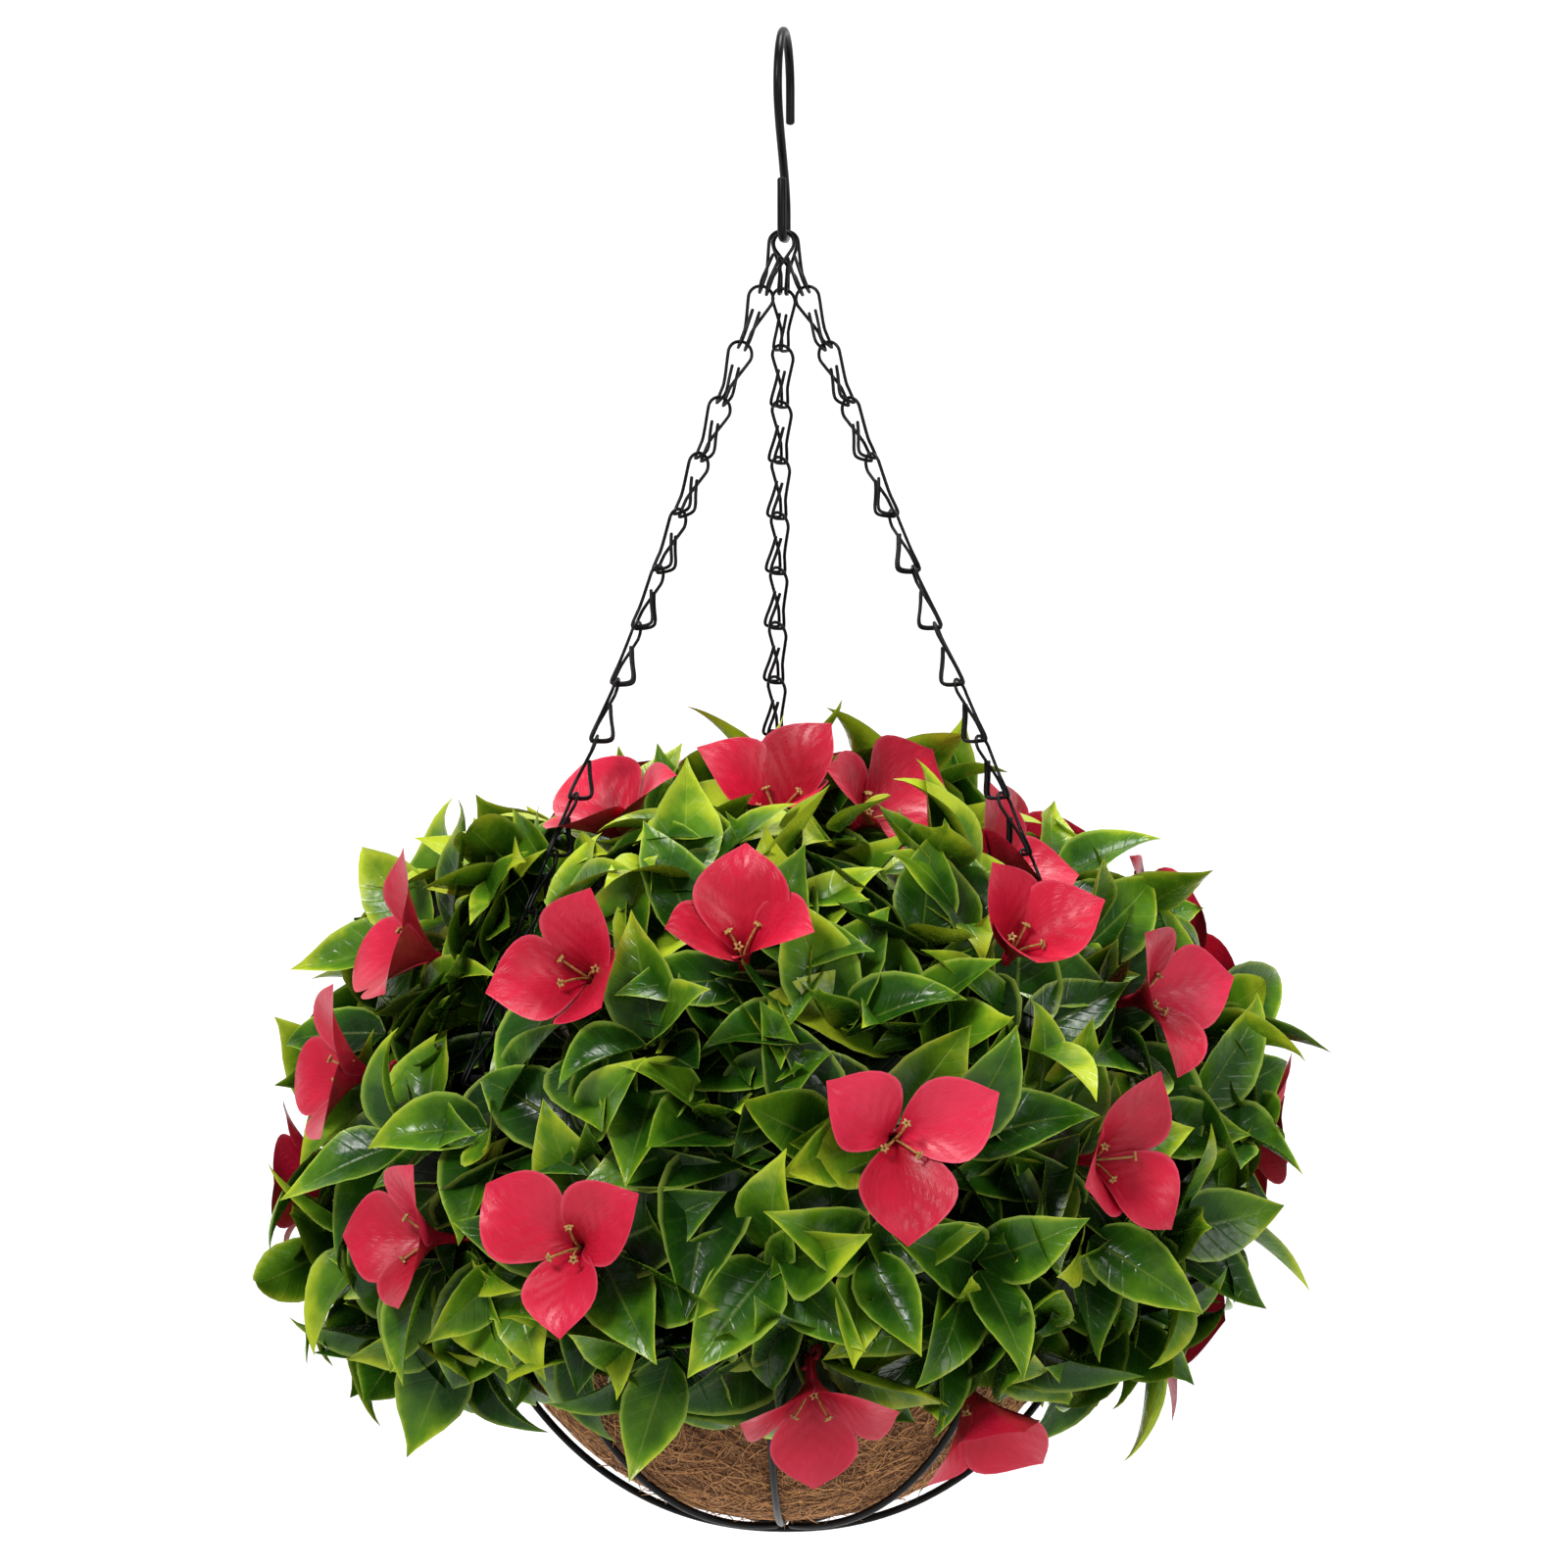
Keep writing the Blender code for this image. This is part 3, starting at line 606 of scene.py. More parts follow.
def sprig_places(shrink, gap_down, gap_round, seed):
    """Rows of sprigs from the top of the mass to its lower edge, the places in each row
    evenly round the axis and then shaken."""
    rng = np.random.default_rng(seed)
    total = outline_at(np.array([0.5]))[-1]
    rows = int(round(total * shrink / gap_down)) + 1
    spots, ways = [], []
    for s in np.linspace(0.0, 1.0, rows):
        wide = outline_at(np.array([s]))[0][0]
        count = max(1, int(round(2 * np.pi * wide * shrink / gap_round)))
        a = 2 * np.pi * (np.arange(count) + rng.random()) / count
        a = a + rng.normal(0, 0.16, count) * (count > 1) * 2 * np.pi / count
        tall = np.clip(s + rng.normal(0, 0.012, count), 0, 1)
        r, z, n, _ = outline_at(tall)
        deep = shrink + rng.normal(0, 0.020, count)
        out = outward(a)
        spot = out * (r * deep)[:, None]
        spot[:, 2] = RIM_Z + z * deep
        way = out * n[:, :1]
        way[:, 2] = n[:, 1]
        spots.append(spot)
        ways.append(way)
    return np.vstack(spots), np.vstack(ways)


def beside_chain(points):
    """Measures of points against each chain: distance sideways, how far outside the
    chain's line, height over the rim, and distance from the axis towards the chain."""
    found = []
    for azimuth, *_ in CHAINS.values():
        az = np.radians(azimuth)
        out = np.array([np.sin(az), -np.cos(az)])
        side = points[..., 0] * np.cos(az) + points[..., 1] * np.sin(az)
        reach = points[..., :2] @ out
        line = RIM_RADIUS * (EYE_Z - points[..., 2]) / (EYE_Z - RIM_Z)
        found.append((side, reach - line, points[..., 2] - RIM_Z, reach))
    return found


def grow(spots, ways, per, size, seed, shade, steep):
    """Leaves of every sprig: each next leaf is turned 137.5 degrees round the sprig, stands
    a little higher and nearer the sprig's axis, from 86 degrees down to steep, and is a
    little shorter. The tone holds painted shade and light: shade darkens or lightens the
    whole set, and leaves higher over the rim are painted lighter, as if lit from above."""
    rng = np.random.default_rng(seed)
    count = len(spots)
    ways = unit(ways + rng.normal(0, 0.16, ways.shape))
    a = unit(np.cross(ways, rng.normal(size=ways.shape)))
    b = np.cross(ways, a)
    rank = np.tile(np.arange(per), count)
    who = np.repeat(np.arange(count), per)
    around = rank * np.radians(137.5) + np.repeat(rng.uniform(0, 6.3, count), per)
    around = around + rng.normal(0, 0.14, len(rank))
    lean = np.radians(np.interp(rank, [0, per - 1], [86, steep])) + rng.normal(0, 0.12, len(rank))
    n = ways[who]
    flat = np.cos(around)[:, None] * a[who] + np.sin(around)[:, None] * b[who]
    ahead = unit(np.cos(lean)[:, None] * n + np.sin(lean)[:, None] * flat)
    ahead = unit(ahead - np.array([0, 0, 0.10]) * (rank < 3)[:, None])
    up = unit(n - (n * ahead).sum(1)[:, None] * ahead)
    spin = rng.normal(0, 0.22, len(rank))[:, None]
    up = unit(up * np.cos(spin) + np.cross(ahead, up) * np.sin(spin))
    base = spots[who] + n * (rank * 0.0020)[:, None] + ahead * 0.003
    length = size * (1.05 - 0.032 * rank) * rng.uniform(0.86, 1.10, len(rank))
    width = length * rng.uniform(0.50, 0.60, len(rank))
    m = len(rank)
    facts = {
        "bend": rng.uniform(0.10, 0.80, m) - 0.02 * rank,
        "curl": rng.choice([-1, 1], m, p=[0.35, 0.65]) * rng.uniform(0.1, 0.8, m),
        "fold": rng.uniform(0.30, 0.75, m), "droop": rng.uniform(0.0, 0.20, m),
        "wave": rng.uniform(0.02, 0.14, m), "beat": rng.uniform(0.7, 1.6, m),
        "phase": rng.uniform(0, 6.3, m), "twist": rng.normal(0, 0.20, m)}
    pts, mid = leaf_blades(base, ahead, up, length, width, facts)
    # painted light: sprigs higher over the rim get a lighter tone, standing in for light from
    # above; shade adds painted shade or light to the whole set
    painted_top_light = np.clip((spots[who, 2] - RIM_Z - 0.02) / 0.07, 0, 1)
    tone = rng.normal(0, 0.12, m) + 0.035 * rank - 0.14 + shade + 0.22 * painted_top_light
    return pts, mid, tone


def calculator(tree):
    """A short call for the math nodes of one material."""
    def calc(kind, first, second=0.0, clamp=False):
        return node(tree, "ShaderNodeMath", {"operation": kind, "use_clamp": clamp},
                    i0=first, i1=second).outputs[0]
    return calc


def leaf_material():
    """Colour runs from deep green at the base to yellow-green at the tip and edge, shifted leaf
    by leaf by the tone attribute, which also holds painted shade and light from grow; a thin
    light line marks midrib and edge; side veins show in the bump."""
    mat, tree, shader = new_material("leaf_plastic")
    coord = node(tree, "ShaderNodeTexCoord")
    place = coord.outputs["Object"]
    split = node(tree, "ShaderNodeSeparateXYZ", Vector=coord.outputs["UV"])
    along = split.outputs[1]
    calc = calculator(tree)
    across = calc("ABSOLUTE", calc("SUBTRACT", calc("MULTIPLY", split.outputs[0], 2.0), 1.0))
    tone = node(tree, "ShaderNodeAttribute", {"attribute_name": "tone"}).outputs["Fac"]
    cloud, grain = noise(tree, place, 55.0, 3.0), noise(tree, place, 420.0, 3.0)
    dye_and_shade = calc("ADD", calc("MULTIPLY", calc("POWER", along, 1.6), 0.42),
               calc("MULTIPLY", calc("POWER", across, 3.0), 0.24))
    dye_and_shade = calc("ADD", dye_and_shade, calc("MULTIPLY", cloud, 0.60))
    # the tone attribute adds each leaf's random shift and its painted shade (deeper sprigs
    # darker) and painted light (higher sprigs lighter)
    dye_and_shade = calc("ADD", dye_and_shade, tone)
    colour = ramp(tree, dye_and_shade, [(0.24, (0.004, 0.022, 0.002)), (0.52, (0.016, 0.068, 0.003)),
                              (0.74, (0.085, 0.195, 0.007)), (0.95, (0.38, 0.46, 0.020))])
    # side veins sweep forward from the midrib
    vein = calc("SUBTRACT", calc("MULTIPLY", along, 9.0), calc("MULTIPLY", across, 1.7))
    vein = calc("ABSOLUTE", calc("SUBTRACT", calc("FRACT", vein), 0.5))
    vein = calc("SUBTRACT", 1.0, calc("MULTIPLY", vein, 9.0), True)
    rib = calc("SUBTRACT", 1.0, calc("MULTIPLY", across, 16.0), True)
    edge = calc("MULTIPLY", calc("SUBTRACT", across, 0.86), 7.0, True)
    pale = calc("ADD", calc("MULTIPLY", edge, 0.60), calc("MULTIPLY", rib, 0.16), True)
    pale = calc("ADD", pale, calc("MULTIPLY", vein, 0.02), True)
    colour = node(tree, "ShaderNodeMix", {"data_type": "RGBA"}, Factor=pale, i6=colour,
                  i7=(0.40, 0.52, 0.08, 1.0)).outputs[2]
    gloss = node(tree, "ShaderNodeMapRange", Value=grain, i1=0.3, i2=0.7, i3=0.15, i4=0.34)
    height = calc("ADD", calc("MULTIPLY", cloud, 1.0), calc("MULTIPLY", vein, -0.10))
    height = calc("ADD", height, calc("MULTIPLY", rib, -0.30))
    height = calc("ADD", height, calc("MULTIPLY", grain, 0.10))
    dress(tree, shader, colour, gloss.outputs[0], height, 0.55, 0.0016)
    shader.inputs["Specular IOR Level"].default_value = 0.22
    return mat


LEAF = leaf_material()
BLOCKS = ("crown", "front", "right", "left")


def area_of(points):
    """Which block a place belongs to, as a number in BLOCKS: the crown is what stands
    10 mm inside the chains' cone, and the left and right chains part the rest."""
    left, right = CHAINS["left"][0], CHAINS["right"][0]
    az = np.degrees(np.arctan2(points[:, 0], -points[:, 1]))
    r = np.linalg.norm(points[:, :2], axis=1)
    cone = RIM_RADIUS * (EYE_Z - points[:, 2]) / (EYE_Z - RIM_Z) - 0.010
    inside = (r < cone) & (points[:, 2] > RIM_Z)
    block = np.where((az > left) & (az < right), 1, np.where(az >= right, 2, 3))
    return np.where(inside, 0, block)


outer_spots, outer_ways = sprig_places(0.95, 0.042, 0.048, 21)
inner_spots, inner_ways = sprig_places(0.80, 0.055, 0.062, 22)
outer_ways = unit(outer_ways + np.array([0, 0, 0.12]))

# ---- Flowers ---------------------------------------------------------------------
# Each flower is three pink plastic bracts clipped on a short pink tube, with three
# yellow-brown stamens; it is pushed on a stem end and stands just over the leaves.
# Places are (azimuth, mm from the axis or 0 for the outline, mm over the rim, degrees the
# flower looks up, degrees it looks sideways, degrees of roll, degrees of opening).

FRONT_FLOWERS = [
    (-6, 0, 54, 44, 0, 0, 38), (-28.5, 0, 46, 14, 0, 16, 44), (36, 0, 54, 36, -6, -34, 42),
    (58, 0, 34, 10, -4, -42, 50), (13, 0, -18, 0, 2, 180, 60), (39, 0, -30, 2, 8, 22, 48),
    (-47, 0, -65, 4, -8, 28, 48), (-25, 0, -65, 4, 0, 178, 60), (4, 0, -120, -50, 0, 180, 50),
    (28, 0, -126, -58, 8, 100, 38), (-72, 0, 0, 8, 4, 15, 50), (-74, 0, 50, 22, 0, 0, 50),
    (-56, 80, 98, 55, 0, 176, 44), (-6, 28, 108, 52, 0, 40, 34), (46, 44, 108, 32, 4, 60, 58),
    (68, 92, 78, 44, 0, 10, 42), (-110, 60, 98, 60, 0, 60, 46), (170, 36, 104, 62, 0, 20, 46),
    (98, 0, 56, 24, 10, 40, 46), (87, 0, -27, 2, 0, 10, 46), (84, 0, -108, -25, 6, 60, 46),
    (-88, 0, -50, 0, -8, 90, 48)]


def back_flowers():
    """The side turned away has as many flowers, in five even rows, each then shaken."""
    rng = np.random.default_rng(5)
    made = []
    for height, count, start in ((74, 4, 116), (44, 5, 104), (4, 5, 116), (-45, 5, 106),
                                 (-104, 5, 114)):
        for k in range(count):
            az = start + k * 144 / count + rng.uniform(-8, 8)
            made.append((az, 0, height + rng.uniform(-12, 12), 10 + 0.35 * height,
                         rng.uniform(-22, 22), rng.uniform(0, 120), rng.uniform(42, 60)))
    return made


flowers = np.array(FRONT_FLOWERS + back_flowers(), float)


def flower_seats(facts):
    """Place and facing of each flower: out on the mass at its height, tipped up and
    sideways from straight out."""
    az, tall = np.radians(facts[:, 0]), facts[:, 2] / 1000
    order = np.argsort(-MASS_OUTLINE[:, 1])
    r = np.interp(-tall, -MASS_OUTLINE[order, 1], MASS_OUTLINE[order, 0])
    r = r + np.interp(tall, [-0.13, -0.09, 0.06, 0.10], [0.004, 0.014, 0.018, 0.012])
    r = r - 0.012 * np.sin(np.clip(np.abs(az), 0, np.pi / 2)) ** 4
    r = np.where(facts[:, 1] > 0, facts[:, 1] / 1000, r)
    out = outward(az)
    side = np.stack([np.cos(az), np.sin(az), 0 * az], 1)
    tip, sway = np.radians(facts[:, 3])[:, None], np.radians(facts[:, 4])[:, None]
    face = unit(out * np.cos(tip) * np.cos(sway) + side * np.sin(sway)
                + np.array([0, 0, 1.0]) * np.sin(tip) * np.cos(sway))
    seat = out * r[:, None]
    seat[:, 2] = RIM_Z + tall
    high = unit(np.array([0, 0, 1.0]) - face[:, 2:] * face + out * 1e-4)
    return seat, face, high, np.cross(face, high)


seats, faces, highs, rights = flower_seats(flowers)
BRACT_ROWS, BRACT_COLS = 17, 9


def bracts(seat, face, high, right, facts, seed):
    """Three bracts to a flower, 120 degrees apart. A bract leaves the tube steeply, opens
    along its length and rolls back at the tip; half width is sin(pi*v^1.22)^1.15 of the
    greatest, and the blade is cupped across by cup*u^2 that fades towards the tip."""
    rng = np.random.default_rng(seed)
    count = len(seat)
    turn = np.radians(np.repeat(facts[:, 5], 3) + np.tile([0, 120, 240], count)
                      + rng.normal(0, 6, 3 * count))
    who = np.repeat(np.arange(count), 3)
    m = len(who)
    spread = np.cos(turn)[:, None] * high[who] - np.sin(turn)[:, None] * right[who]
    v = np.linspace(0, 1, BRACT_ROWS)
    u = np.linspace(-1, 1, BRACT_COLS)
    length = rng.uniform(0.047, 0.053, m)
    width = length * rng.uniform(0.74, 0.88, m)
    opening = np.radians(np.repeat(facts[:, 6], 3)) + rng.normal(0, 0.07, m)
    reflex = rng.uniform(0.2, 1.0, m)
    angle = (0.20 + (opening[:, None] - 0.20) * np.clip(v / 0.40, 0, 1) ** 0.8
             + reflex[:, None] * np.clip((v - 0.50) / 0.50, 0, 1) ** 1.8)
    step = length[:, None] / (BRACT_ROWS - 1)
    x = np.cumsum(np.sin(angle) * step, 1) - np.sin(angle[:, :1]) * step
    z = np.cumsum(np.cos(angle) * step, 1) - np.cos(angle[:, :1]) * step
    half = np.sin(np.pi * v ** 1.22).clip(0) ** 1.15
    half = np.maximum(half[None] * width[:, None] * 0.50, 0.0012)
    half[:, -1] = 0.0002
    cup = rng.uniform(0.35, 0.80, m)[:, None] * (1 - 1.1 * v)
    wave = rng.uniform(0.02, 0.10, m)[:, None, None] * np.sin(
        2 * np.pi * 1.3 * v[:, None] + rng.uniform(0, 6, m)[:, None, None]
        + 2 * np.sign(u)) * u ** 2
    rise = half[:, :, None] * (cup[..., None] * u ** 2 + 0.10 * np.abs(u) + wave)
    y = half[:, :, None] * u * (1 - 0.10 * cup[..., None] * u ** 2)
    f, s = face[who], spread
    side = np.cross(f, s)
    square = np.sin(angle)[..., None] * f[:, None] - np.cos(angle)[..., None] * s[:, None]
    start = seat[who] + s * 0.0016
    mid = start[:, None] + x[..., None] * s[:, None] + z[..., None] * f[:, None]
    pts = (mid[:, :, None] + y[..., None] * side[:, None, None]
           + rise[..., None] * square[:, :, None])
    return pts, rng.normal(0, 0.10, m)


def bract_material():
    """Pink-red plastic: deeper towards the throat, a paler rim, and fine veins that fan out
    along the blade, shown in colour and bump."""
    mat, tree, shader = new_material("bract_plastic")
    coord = node(tree, "ShaderNodeTexCoord")
    split = node(tree, "ShaderNodeSeparateXYZ", Vector=coord.outputs["UV"])
    calc = calculator(tree)
    along = split.outputs[1]
    across = calc("SUBTRACT", calc("MULTIPLY", split.outputs[0], 2.0), 1.0)
    wide = calc("ABSOLUTE", across)
    tone = node(tree, "ShaderNodeAttribute", {"attribute_name": "tone"}).outputs["Fac"]
    place = coord.outputs["Object"]
    cloud, grain = noise(tree, place, 60.0, 4.0), noise(tree, place, 600.0, 2.0)
    fan = node(tree, "ShaderNodeCombineXYZ", X=calc("MULTIPLY", across, 7.0),
               Y=calc("MULTIPLY", along, 2.2), Z=tone)
    veins = node(tree, "ShaderNodeTexNoise", Vector=fan.outputs[0], Scale=2.2, Detail=4.0,
                 Roughness=0.6).outputs["Fac"]
    light = calc("ADD", calc("MULTIPLY", along, 0.30), calc("MULTIPLY", cloud, 0.5))
    light = calc("ADD", light, tone)
    colour = ramp(tree, light, [(0.15, (0.32, 0.002, 0.014)), (0.45, (0.53, 0.006, 0.034)),
                                (0.80, (0.68, 0.020, 0.066))])
    rim_line = calc("MULTIPLY", calc("SUBTRACT", wide, 0.90), 9.0, True)
    pale = calc("ADD", calc("MULTIPLY", rim_line, 0.30),
                calc("MULTIPLY", calc("SUBTRACT", veins, 0.5), 0.22), True)
    colour = node(tree, "ShaderNodeMix", {"data_type": "RGBA"}, Factor=pale, i6=colour,
                  i7=(0.86, 0.16, 0.24, 1.0)).outputs[2]
    shader.inputs["Specular IOR Level"].default_value = 0.32
    side = calc("SUBTRACT", calc("MULTIPLY", along, 7.0), calc("MULTIPLY", wide, 2.2))
    side = calc("ABSOLUTE", calc("SUBTRACT", calc("FRACT", calc("ADD", side, veins)), 0.5))
    height = calc("ADD", calc("MULTIPLY", veins, 0.5), calc("MULTIPLY", cloud, 0.5))
    height = calc("ADD", height, calc("MULTIPLY", side, 0.45))
    height = calc("ADD", height, calc("MULTIPLY", wide, 0.8))
    height = calc("ADD", height, calc("MULTIPLY", grain, 0.06))
    dress(tree, shader, colour, 0.36, height, 0.45, 0.0012)
    return mat


BRACT = bract_material()


STAMEN = grained_material("stamen_plastic", "ShaderNodeTexNoise",
                          {"Scale": 500.0, "Detail": 3.0},
                          [(0.3, (0.22, 0.10, 0.02)), (0.7, (0.52, 0.33, 0.10))],
                          0.45, (0.4, 0.0004))


def stamens(seat, face, high, right, roll, seed):
    """Three curved rods from the throat, each with a small five-lobed disc at its end."""
    rng = np.random.default_rng(seed)
    parts = []
    for k in range(len(seat)):
        for j in range(3):
            turn = np.radians(roll[k] + 60 + 120 * j + rng.normal(0, 12))
            way = np.cos(turn) * high[k] - np.sin(turn) * right[k]
            reach, tall = rng.uniform(0.006, 0.011), rng.uniform(0.014, 0.020)
            t = np.linspace(0, 1, 6)[:, None]
            path = seat[k] + face[k] * tall * t + way * reach * t ** 1.8
            parts.append(sweep(path, 0.0006, 5, start=way))
            tip = unit(path[-1] - path[-2])
            a = unit(np.cross(tip, way + 0.01))
            b = np.cross(tip, a)
            phi = 2 * np.pi * np.arange(20) / 20
            lobe = 0.0018 + 0.0007 * np.cos(5 * phi)
            rings = []
            for scale, lift in ((0.30, 0.0002), (0.35, 0.0010), (0.8, 0.0012), (1.0, 0.0006),
                                (0.8, 0.0), (0.30, 0.0002)):
                rings.append(path[-1] + tip * lift + scale * lobe[:, None] * (
                    np.cos(phi)[:, None] * a + np.sin(phi)[:, None] * b))
            quads = ring_quads(len(rings), len(phi))[0]
            parts.append((np.vstack(rings), quads, np.zeros((len(quads), 4, 2))))
    return merge(parts)


def throats(seat, face, high, right, seed):
    """The pink tube behind the bracts and two small loops of the clip at its foot: circles
    in the plane of the flower's axis."""
    rng = np.random.default_rng(seed)
    parts = []
    for k in range(len(seat)):
        t = np.linspace(0, 1, 6)[:, None]
        path = seat[k] + face[k] * (0.004 - 0.014 * t)
        parts.append(sweep(path, np.array([0.0030, 0.0026, 0.0022, 0.0022, 0.0026, 0.0010]), 8,
                           start=high[k]))
        turn = rng.uniform(0, np.pi)
        way = np.cos(turn) * high[k] + np.sin(turn) * right[k]
        for sign in (-1, 1):
            phi = 2 * np.pi * np.arange(14) / 14
            centre = seat[k] - face[k] * 0.009 + sign * way * 0.0042
            ring_path = centre + 0.0030 * (np.cos(phi)[:, None] * way + np.sin(phi)[:, None]
                                           * face[k])
            parts.append(sweep(ring_path, 0.0010, 6, closed=True,
                               start=np.cross(way, face[k])))
    return merge(parts)


def drape(pts):
    """Below the rim, leaf points inside the basket's ribs are slid out level until they
    are clear of them, so the leaf lies on the basket."""
    deep = np.clip((RIM_Z - pts[..., 2]) / DEPTH, 0, 1)
    least = np.where(pts[..., 2] < RIM_Z + 0.004,
                     (RIB_RADIUS + 0.008) * (1 - deep ** POWER) ** (1 / POWER) + 0.0025, 0)
    reach = np.linalg.norm(pts[..., :2], axis=-1)
    grown = np.maximum(reach, least) / np.maximum(reach, 1e-6)
    grown = np.where(reach > 0.5 * least, grown, 1)
    pts[..., :2] *= grown[..., None]
    return pts


SIDE_LIMIT, CHAIN_CLEAR, CHAIN_FRONT = 0.2495, 0.0065, 0.004
CUP_WIDE, CUP_TALL = 0.036, 0.060
# how far over the rim each side chain is kept in sight
IN_SIGHT = {"left": -0.002, "right": 0.078}


def keep_clear(pts):
    """Which leaves stay: none that touch a chain or lie over the front of a side chain,
    none inside a flower's cup, which is a cone as open as the flower, and none inside the
    basket."""
    count = len(pts)
    flat = pts.reshape(count, -1, 3)
    keep = (np.abs(flat[..., :2]) < SIDE_LIMIT).all((1, 2))
    for side, (top, foot) in chain_lines.items():
        # share runs from 0 at the chain's top to 1 at the rim
        share = (flat[..., 2] - top[2]) / (foot[2] - top[2])
        over = flat[..., :2] - (top[:2] + share[..., None] * (foot[:2] - top[:2]))
        here = share < 1.02
        keep &= ~((np.linalg.norm(over, axis=-1) < CHAIN_CLEAR) & here).any(1)
        if side in IN_SIGHT:
            hides = (np.abs(over[..., 0]) < CHAIN_FRONT) & (over[..., 1] < -CHAIN_FRONT)
            hides &= flat[..., 2] > RIM_Z + IN_SIGHT[side]
            keep &= ~(hides & here).any(1)
    for seat, face, opening in zip(seats, faces, np.radians(flowers[:, 6])):
        away = flat - seat
        along = away @ face
        wide = np.linalg.norm(away - along[..., None] * face, axis=-1)
        inside = (wide < CUP_WIDE) & (along > 0.9 * wide / np.tan(opening) + 0.002)
        keep &= ~(inside & (along < CUP_TALL)).any(1)
    within = np.linalg.norm(flat[..., :2], axis=-1) < RIM_RADIUS - 0.010
    keep &= ~(within & (flat[..., 2] < RIM_Z - 0.002) & (flat[..., 2] > RIM_Z - 0.09)).any(1)
    return keep


def behind_chains(spots):
    """Sprigs within 14 mm of a chain's line are pulled back to 20 mm behind it."""
    spots = spots.copy()
    for side, over, tall, reach in beside_chain(spots):
        near = (np.abs(side) < 0.014) & (tall > -0.006) & (reach > 0) & (over > -0.020)
        shift = np.where(near, over + 0.020, 0)
        spots[:, :2] -= unit(spots[:, :2]) * shift[:, None]
    return spots


def parting_places():
    """Small sprigs just behind each chain line, every 20 mm of height over the rim, facing
    out: they close the hollow where the long leaves are held apart."""
    tall = np.arange(0.004, 0.100, 0.020)
    spots, ways = [], []
    for azimuth, *_ in CHAINS.values():
        for shift, behind in ((-11, 0.008), (-5, 0.020), (5, 0.020), (11, 0.008)):
            out = outward(np.radians(azimuth + shift))
            reach = RIM_RADIUS * (1 - tall / (EYE_Z - RIM_Z)) - behind
            spots.append(out * reach[:, None] + np.array([0, 0, 1.0]) * (RIM_Z + tall)[:, None])
            ways.append(np.broadcast_to(out + np.array([0, 0, 0.4]), (len(tall), 3)))
    return np.vstack(spots), unit(np.vstack(ways))


# the sixth entry of each set is painted shade: inner sprigs, deeper in the mass, are painted 0.10
# darker and the sprigs round the flowers 0.03 lighter
blades, tones, blocks = [], [], []
for spots, ways, *facts in ((*parting_places(), 8, 0.048, 30, 0.0, 56),
                            (outer_spots, outer_ways, 9, 0.070, 31, 0.0, 34),
                            (inner_spots, inner_ways, 7, 0.066, 32, -0.10, 34),
                            (seats - faces * 0.024, faces, 7, 0.068, 33, 0.03, 66)):
    pts, mid, tone = grow(behind_chains(spots), ways, *facts)
    pts = drape(pts)
    keep = keep_clear(pts)
    blades.append(pts[keep])
    tones.append(tone[keep])
    blocks.append(area_of(mid[keep][:, 0]))
blades, tones, blocks = np.concatenate(blades), np.concatenate(tones), np.concatenate(blocks)

for k, block in enumerate(BLOCKS):
    mine = blocks == k
    quads, uv = grid_quads(mine.sum(), LEAF_ROWS, LEAF_COLS)
    leaves = make_piece(f"leaves_{block}", blades[mine].reshape(-1, 3), quads, uv, LEAF,
                        tone=np.repeat(tones[mine], LEAF_ROWS * LEAF_COLS))
    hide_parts(f"foliage_{block}")

group = area_of(seats)
for k, block in enumerate(BLOCKS):
    mine = group == k
    here = (seats[mine], faces[mine], highs[mine], rights[mine])
    pts, tone = bracts(*here, flowers[mine], 41 + k)
    quads, uv = grid_quads(len(pts), BRACT_ROWS, BRACT_COLS)
    make_piece(f"bracts_{block}", pts.reshape(-1, 3), quads, uv, BRACT,
               tone=np.repeat(tone, BRACT_ROWS * BRACT_COLS))
    verts, quads, uv = stamens(*here, flowers[mine, 5], 51 + k)
    make_piece(f"stamens_{block}", verts, quads, uv, STAMEN)
    verts, quads, uv = throats(*here, 61 + k)
    make_piece(f"throats_{block}", verts, quads, uv, BRACT, tone=np.full(len(verts), -0.1))

# ---- Stems -----------------------------------------------------------------------
# Wire-cored plastic stems run from the foam to each sprig and flower.


def stem_tubes(ends, ways):
    """A bent line from the foam: up and out past the rim, then out to the sprig along its
    own direction; a quadratic curve of three points, swept as a thin tube."""
    t = np.linspace(0, 1, 9)[:, None]
    parts = []
    for end, way in zip(ends, ways):
        out = np.array([*end[:2], 0.0])
        r = np.linalg.norm(out)
        out = out / max(r, 1e-6)
        start = out * min(0.6 * r, 0.115) + np.array([0, 0, RIM_Z - 0.010])
        knee = out * 0.75 * r + np.array([0, 0, max(end[2] + 0.012, RIM_Z + 0.030)])
        path = (1 - t) ** 2 * start + 2 * t * (1 - t) * knee + t ** 2 * (end + way * 0.012)
        parts.append(sweep(path, np.linspace(0.0022, 0.0014, 9), 6, start=(0.3, 0.5, 0.2)))
    return merge(parts)


STEM = grained_material("stem_plastic", "ShaderNodeTexNoise", {"Scale": 160.0, "Detail": 4.0},
                        [(0.35, (0.020, 0.045, 0.010)), (0.7, (0.10, 0.13, 0.03))],
                        0.5, (0.4, 0.0005))
verts, quads, uv = stem_tubes(np.vstack([outer_spots, seats - faces * 0.012]),
                              np.vstack([outer_ways * 0.6, faces * 0.1]))
make_piece("stems", verts, quads, uv, STEM)

# ---- Studio ----------------------------------------------------------------------
# A white sweep far behind and below, soft lights from the front and above.


FLOOR_Z, WALL_Y, WALL_TOP, SWEEP_BEND, SWEEP_HALF = -4.2, 5.6, 7.8, 1.6, 14.0


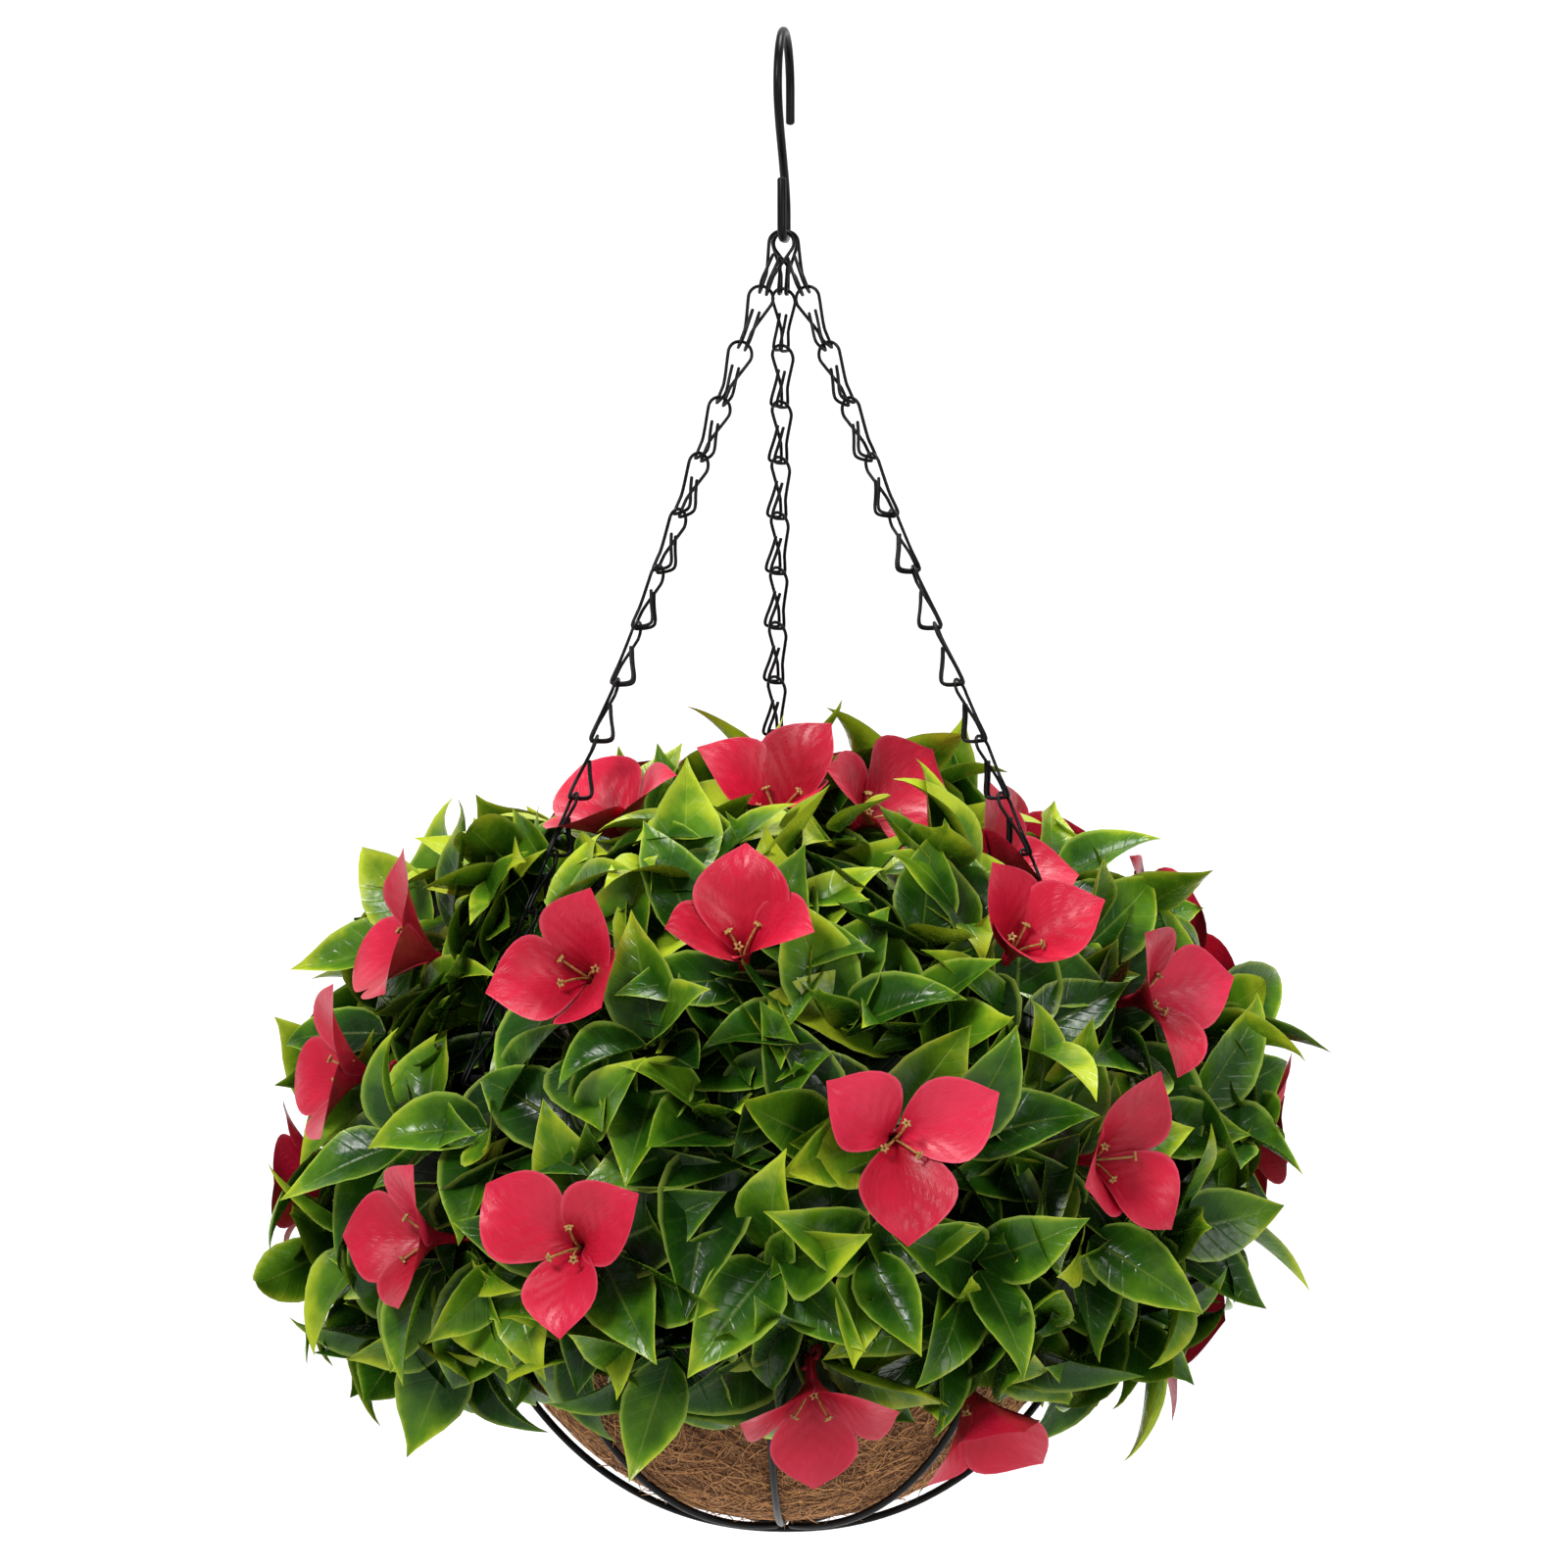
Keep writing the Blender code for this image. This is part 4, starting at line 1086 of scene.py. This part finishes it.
def backdrop():
    """A floor that curves up into a wall: an L-shaped section carried across."""
    t = np.linspace(0, np.pi / 2, 12)
    bend = np.stack([WALL_Y - SWEEP_BEND * (1 - np.sin(t)),
                     FLOOR_Z + SWEEP_BEND * (1 - np.cos(t))], 1)
    section = np.vstack([[-SWEEP_HALF, FLOOR_Z], bend, [WALL_Y, WALL_TOP]])
    x = np.array([-SWEEP_HALF, SWEEP_HALF])
    pts = np.stack([np.broadcast_to(x[None], (len(section), 2)),
                    np.broadcast_to(section[:, :1], (len(section), 2)),
                    np.broadcast_to(section[:, 1:], (len(section), 2))], -1)
    quads, _ = grid_quads(1, len(section), 2)
    mesh = bpy.data.meshes.new("studio_sweep")
    mesh.from_pydata(pts.reshape(-1, 3).tolist(), [], quads[:, ::-1].tolist())
    mesh.shade_smooth()
    return mesh


mat, tree, shader = new_material("studio_white")
shader.inputs["Base Color"].default_value = (0.92, 0.92, 0.92, 1)
shader.inputs["Roughness"].default_value = 0.9
shader.inputs["Emission Color"].default_value = (1, 1, 1, 1)
shader.inputs["Emission Strength"].default_value = 0.5
sweep_mesh = backdrop()
sweep_mesh.materials.append(mat)
floor = bpy.data.objects.new("studio_sweep", sweep_mesh)
bpy.context.collection.objects.link(floor)

world = bpy.data.worlds.new("studio")
bpy.context.scene.world = world
world.use_nodes = True
world.node_tree.nodes["Background"].inputs["Color"].default_value = (1, 1, 1, 1)
world.node_tree.nodes["Background"].inputs["Strength"].default_value = 0.34


def soft_light(name, place, size, power, aim=(0, 0, -0.35)):
    data = bpy.data.lights.new(name, "AREA")
    data.shape, data.size, data.energy = "DISK", size, power
    lamp = bpy.data.objects.new(name, data)
    bpy.context.collection.objects.link(lamp)
    lamp.location = place
    lamp.rotation_euler = (Vector(aim) - Vector(place)).to_track_quat("-Z", "Y").to_euler()


soft_light("key", (-1.2, -2.0, 1.2), 0.8, 60)
soft_light("fill", (1.7, -2.2, 0.1), 1.2, 22)
soft_light("top", (0.3, 0.2, 1.6), 1.0, 42)

camera = bpy.data.cameras.new("camera")
camera.lens, camera.sensor_width = 165.3, 36.0
view = bpy.data.objects.new("camera", camera)
bpy.context.collection.objects.link(view)
view.location = (0.0, -3.2, -0.265)
view.rotation_euler = (np.radians(88.8), 0.0, 0.0)
bpy.context.scene.camera = view
bpy.context.scene.view_settings.view_transform = "Standard"
